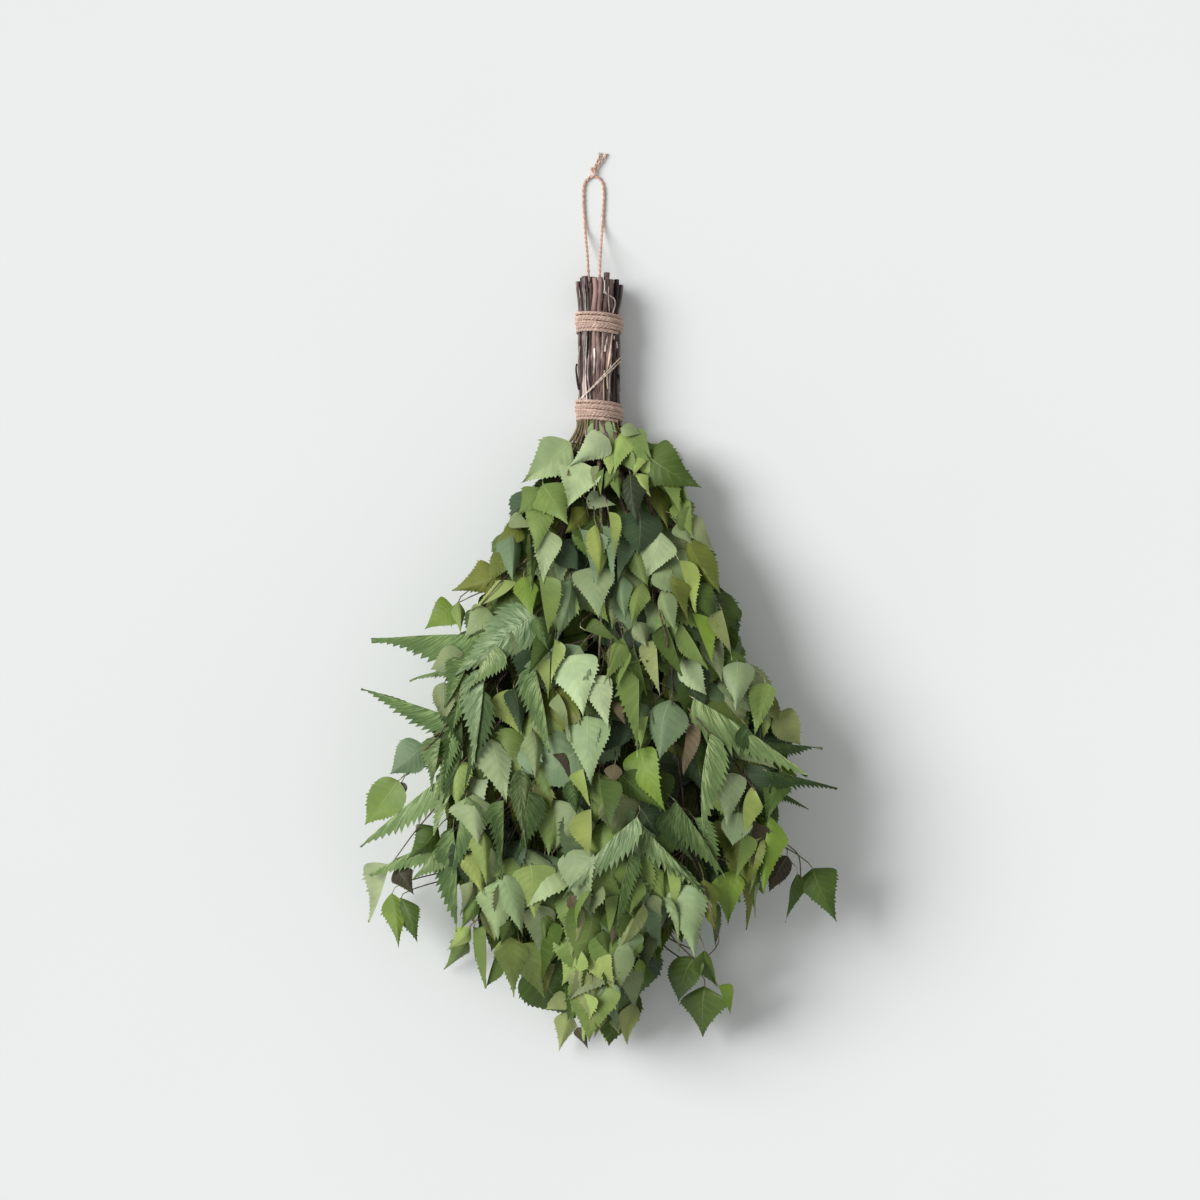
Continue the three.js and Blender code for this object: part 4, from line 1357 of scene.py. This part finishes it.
# Painted shade: the leaves deep inside the bundle get these darker colours.
PAINTED_SHADE_LOOKS = ["deep", "deep", "deep", "dusk", "olive", "dusk"]
FILL_LOOKS = ["mid", "mid", "grey", "deep", "blue", "mist", "mid", "olive", "deep", "dusk"]
GREEN_LOOKS = ["mid", "mid", "deep", "light", "blue", "mist", "khaki", "bright"]

LOWEST = 0.4  # the bottom of the pile of leaves
CLEARANCE = 0.3  # between the surface and the undersides of leaves


def ground_leaves():
    """The leaves pressed under the bundle."""
    pile = Pile(np.maximum(BOTTOM - 3.5, LOWEST))
    places = random_places(105, margin=4, past_from=8, past_to=372, spread=0.3)
    places.sort(key=lambda place: place[1])
    for across, past, heading in places:
        leaf = random_leaf(across, past, heading, GREEN_LOOKS, flat=0.25)
        low = value_at(BOTTOM, across, past)
        pile.settle(leaf, max(low, LOWEST) + 1.5, slack=4)
        give(above_surface(leaf))


def above_surface(leaf):
    return leaf.raised(max(0.0, CLEARANCE - leaf.under[..., 2].min()))


def inner_leaves():
    """Leaves in the middle of the bundle, which keep it from looking hollow."""
    places = random_places(110, margin=8, past_from=40, past_to=350, spread=0.45)
    for across, past, heading in places:
        leaf = random_leaf(across, past, heading, PAINTED_SHADE_LOOKS, flat=1.2)
        low, high = value_at(BOTTOM, across, past), value_at(TOP, across, past)
        leaf.raised(low + (high - low) * chance.uniform(0.25, 0.6))
        give(above_surface(leaf))


# Dark gaps that reach down into the bundle: across, past the throat, and radius.
GAPS = [
    (-8, 135, 9), (3, 141, 10), (55, 243, 9), (62, 260, 10), (11, 224, 6), (-58, 186, 5),
    (-52, 262, 8), (-64, 262, 7), (52, 279, 7), (70, 283, 8), (-26, 277, 5), (36, 336, 6),
    (20, 42, 8), (-62, 160, 7), (38, 212, 7), (-14, 44, 4),
]
# The layers that show between the top leaves: depth, number of leaves, looks, and how far the
# middle of a leaf stays from a gap.
UNDER_LAYERS = [
    (24, 80, PAINTED_SHADE_LOOKS, 0),
    (15, 110, PAINTED_SHADE_LOOKS + ["mid", "blue"], 13),
    (9, 120, FILL_LOOKS, 13),
]


def under_leaves(pile):
    """The leaves of UNDER_LAYERS, which leave the gaps open."""
    for depth, count, looks, rim in UNDER_LAYERS:
        places = random_places(count, margin=5, past_from=4, past_to=358, spread=0.35)
        places.sort(key=lambda place: -place[1])
        for across, past, heading in places:
            middle = onward(across, past, heading, TO_MIDDLE)
            if any(math.dist(middle, (x, y)) < size + rim for x, y, size in GAPS):
                continue
            slope = limited_slope(across, past)
            leaf = random_leaf(across, past, heading, looks, slope=slope)
            give(pile.settle(leaf, value_at(TOP, across, past) - depth, slack=5))


SLIM = 0.46  # a birch blade narrower than this for its length is often one folded shut
THROAT_END = 62  # past the throat: nearer than this the shoots are bare, and leaves lie on them
SUNK = 3  # how far the middles of the other leaves are below the top of the CAD model


def top_leaves(pile):
    """The blades that show, from the tips of the bundle to the throat."""
    rows = [(any_birch(), row, 0) for row in TOP_BIRCH]
    rows += [(NETTLE, row[:-1], row[-1]) for row in TOP_NETTLE]
    rows.sort(key=lambda entry: -entry[1][1])
    for shape, row, side in rows:
        long = math.hypot(row[2] - row[0], row[3] - row[1])
        if shape is not NETTLE and row[4] / long < SLIM:
            side = int(chance.choice([-1, 0, 1], p=[0.35, 0.3, 0.35]))
        leaf = half_leaf(shape, row, side) if side else shown_leaf(shape, row)
        if row[1] < 0:
            give(leaf.raised(tucked_height(row[0]) - leaf.base()[2]))
            continue
        middle = leaf.grid[..., 0].mean(), leaf.grid[..., 1].mean()
        sunk = 0 if row[1] < THROAT_END else SUNK
        give(pile.settle(leaf, value_at(TOP, *middle) - sunk, slack=7))


EDGE_ROW = (14, 345, 5.5)  # past the throat: from, to and step


def side_leaves():
    """Leaves that face outward along both edges of the bundle."""
    for side in (-1, 1):
        for past in np.arange(*EDGE_ROW):
            edge = min(abs(body_edges(past)[side > 0]), abs(body_edges(past + 30)[side > 0]))
            across = side * (edge - chance.uniform(4, 14))
            heading = math.atan2(across, past + EDGE_FAN_CENTRE) + chance.normal(0, 0.2)
            tilt = chance.uniform(0.7, 1.25)
            long = chance.uniform(30, 42)
            look = str(chance.choice(GREEN_LOOKS))
            leaf = Leaf(any_birch(), look, aspect=1.0)
            leaf.form(fold=-0.15, bend=0.4, roll=-side * tilt, pitch=0.05)
            leaf.put((across, past), onward(across, past, heading, long), (0, 0))
            low, high = value_at(BOTTOM, across, past), value_at(TOP, across, past)
            leaf.raised(low + (high - low) * chance.uniform(0.15, 0.7))
            give(above_surface(leaf))


# ---- Twigs ----


PETIOLE = 14  # length
SHOOT_LEAN = 12  # how far a shoot follows its branch before it leaves it
TWIG_DEPTH = 9  # shoots stay this far inside the bundle,
STEEPEST = 60  # unless they would have to drop more than this on the way
TWIG_LOWEST = 0.8


def leaf_twig(branch, leaf):
    """The petiole and the thin shoot that join a leaf to its branch."""
    start, heading = leaf.base(), leaf.heading()
    upstream = branch.twig[branch.twig[:, 1] > start[1] + chance.uniform(18, 40)]
    joint = upstream[-1] if len(upstream) else branch.twig[0]
    back = -heading * min(PETIOLE, np.linalg.norm(joint - start) * 0.35)
    lean = unit(branch.twig[-1] - branch.twig[0]) * SHOOT_LEAN
    t = np.linspace(0, 1, 9)[:, None]
    a, b, c, d = start + heading * 0.6, start + back, joint + lean, joint
    path = a * (1 - t) ** 3 + 3 * b * t * (1 - t) ** 2 + 3 * c * t**2 * (1 - t) + d * t**3
    inside = TOP[cell_of(path[:, 0] - AXIS_X, THROAT_Y - path[:, 1])] - TWIG_DEPTH
    sunk = np.maximum(inside, start[2] - STEEPEST * t[:, 0])
    path[:, 2] = np.maximum(np.minimum(path[:, 2], sunk), TWIG_LOWEST)
    share = smoothstep(t[:, 0], 0.12, 0.45)[:, None]
    green = PETIOLE_COLOUR * chance.uniform(0.7, 1.0)
    brown = TWIG_COLOUR * chance.uniform(0.6, 1.1)
    return tube(path, 0.34 + 0.26 * t[:, 0], 5, green * (1 - share) + brown * share)


# Twigs that show between the leaves: radius, and route, across and past the throat.
SHOWN_TWIGS = [
    (0.55, [(38, 118), (43, 140), (46, 158), (46, 178)]),
    (0.45, [(56, 180), (68, 194), (84, 212), (98, 232)]),
    (0.45, [(108, 258), (121, 269), (128, 276), (129, 290)]),
    (0.45, [(66, 292), (70, 306), (75, 322), (75, 335), (66, 341)]),
    (0.5, [(-44, 84), (-52, 92), (-62, 100), (-75, 115)]),
    (0.4, [(-96, 190), (-103, 200), (-111, 207)]),
    (0.45, [(-62, 188), (-72, 200), (-87, 215)]),
    (0.45, [(-104, 244), (-116, 258), (-130, 277)]),
    (0.35, [(-7, 48), (-5, 54), (-2, 62), (0, 66)]),
    (0.35, [(-4, 52), (-1, 57), (4, 60), (6, 66)]),
    (0.35, [(-8, 50), (-7, 57), (-5, 62)]),
    (0.4, [(30, 150), (33, 168), (34, 190)]),
    (0.4, [(8, 136), (6, 150), (7, 166)]),
]
# The thin stems that leave the lower binding where no leaf covers them.
THROAT_TWIGS = [
    (0.95, [(-12.4, -5), (-13.6, 0), (-17, 7), (-22, 14), (-27, 26)]),
    (0.9, [(-11.2, -5), (-12.4, 1), (-15.4, 8), (-19.6, 16), (-24, 30)]),
    (0.8, [(-9.9, -5), (-10.8, 2), (-13.6, 9), (-17.8, 18), (-20, 32)]),
    (0.8, [(-8.5, -5), (-9.2, 2), (-11.4, 9), (-14, 20)]),
    (0.7, [(-7.0, -5), (-7.6, 2), (-8.4, 10), (-9, 20)]),
    (0.6, [(-3.4, -5), (-3.2, 2), (-3.6, 10)]),
    (0.7, [(9.4, -5), (10.6, 1), (13.6, 7), (17, 16)]),
    (0.7, [(11.0, -5), (12.2, 1), (15.6, 7), (20, 16)]),
    (0.8, [(12.6, -5), (14.2, 0), (17.6, 6), (23, 14)]),
]
THROAT_COLOUR = linear(138, 124, 88)
THROAT_RING = 14  # how far these are from the handle's axis at the throat
ON_LEAVES = 30  # past the throat, where twigs begin to lie on the leaves


def laid_twig(radius, places, pile):
    """A twig that lies on the leaves."""
    route = []
    for across, past in places:
        ring = AXIS_UP + math.sqrt(max(THROAT_RING**2 - across**2, 0))
        up = value_at(TOP, across, past)
        if past > ON_LEAVES:
            up = value_at(pile.height, across, past) + 0.5
        route.append(spot(across, past, ring + (up - ring) * smoothstep(past, 0, 26)))
    path = through(route, 2.0)
    girth = radius * np.linspace(1.1, 0.75, len(path))
    return path, girth


def shown_twigs(pile):
    """The twigs listed above, each with the branch that it belongs to."""
    found = []
    birches = [branch for branch in BRANCHES if not branch.nettle]
    for rows, colour in ((SHOWN_TWIGS, TWIG_COLOUR), (THROAT_TWIGS, THROAT_COLOUR)):
        for radius, places in rows:
            path, girth = laid_twig(radius, places, pile)
            branch = min(birches, key=lambda b: b.nearest(path[-1]))
            found.append((branch, tube(path, girth, 8, colour * chance.uniform(0.75, 1.15))))
    return found


def add_twigs(branch, extra):
    along = length_along(branch.twig)
    taper = branch.radius * np.interp(along / along[-1], [0, 0.2, 1], [0.85, 0.48, 0.2])
    colour = STALK_COLOUR if branch.nettle else TWIG_COLOUR
    shapes = [tube(branch.twig, taper, 8, colour * chance.uniform(0.75, 1.1))]
    shapes += [leaf_twig(branch, leaf) for leaf in branch.leaves]
    name = branch.spray.replace("spray", "twigs")
    add_piece(name, branch.spray, joined(shapes + extra), BARK)


def add_leaves(branch):
    material, slot = (NETTLE_LEAF, "nettle_leaf") if branch.nettle else (BIRCH_LEAF, "birch_leaf")
    shape = joined([leaf.mesh() for leaf in branch.leaves])
    name = branch.spray.replace("spray", "leaves")
    add_piece(name, branch.spray, shape, material)


def add_foliage():
    """All the leaves and twigs: for each branch, one piece of twigs and one of leaves."""
    ground_leaves()
    inner_leaves()
    side_leaves()
    pile = Pile(TOP - 27)
    under_leaves(pile)
    top_leaves(pile)
    extra = shown_twigs(pile)
    for branch in BRANCHES:
        add_twigs(branch, [shape for owner, shape in extra if owner is branch])
        add_leaves(branch)


# ---- Surface and light ----


def floor_material():
    n = Nodes("surface")
    fine = n.noise(n.place(), 3.0, 2.0)
    colour = n.mix(fine, linear(232, 235, 234), linear(236, 239, 238))
    return n.finish(colour, 0.9, n.bump(fine, 0.0001), 0.1)


FLOOR = 40  # metres, from its middle to its edges


def add_surface():
    mesh = bpy.data.meshes.new("surface")
    corners = [(-1, -1), (1, -1), (1, 1), (-1, 1)]
    mesh.from_pydata([(x * FLOOR, y * FLOOR, 0) for x, y in corners], [], [(0, 1, 2, 3)])
    mesh.materials.append(floor_material())
    surface = bpy.data.objects.new("surface", mesh)
    bpy.context.scene.collection.objects.link(surface)


SUN_TOWARDS = (1.15, -0.42, -1.0)
SUN_POWER = 2.95
SUN_WIDTH = 0.62  # radians: wide, for a soft edge to the shadow
SKY = 0.42


def add_light():
    """A broad sun from the upper left of the picture, and an even white sky."""
    data = bpy.data.lights.new("sun", "SUN")
    data.energy = SUN_POWER
    data.angle = SUN_WIDTH
    sun = bpy.data.objects.new("sun", data)
    sun.rotation_euler = Vector(SUN_TOWARDS).to_track_quat("-Z", "Y").to_euler()
    bpy.context.scene.collection.objects.link(sun)
    world = bpy.data.worlds.new("world")
    world.use_nodes = True
    background = world.node_tree.nodes["Background"]
    background.inputs["Color"].default_value = (1, 1, 1, 1)
    background.inputs["Strength"].default_value = SKY
    bpy.context.scene.world = world
    bpy.context.scene.view_settings.view_transform = "Standard"


add_camera()
add_loop()
add_bindings()
add_cross_twine()
add_canes()
add_foliage()
add_surface()
add_light()
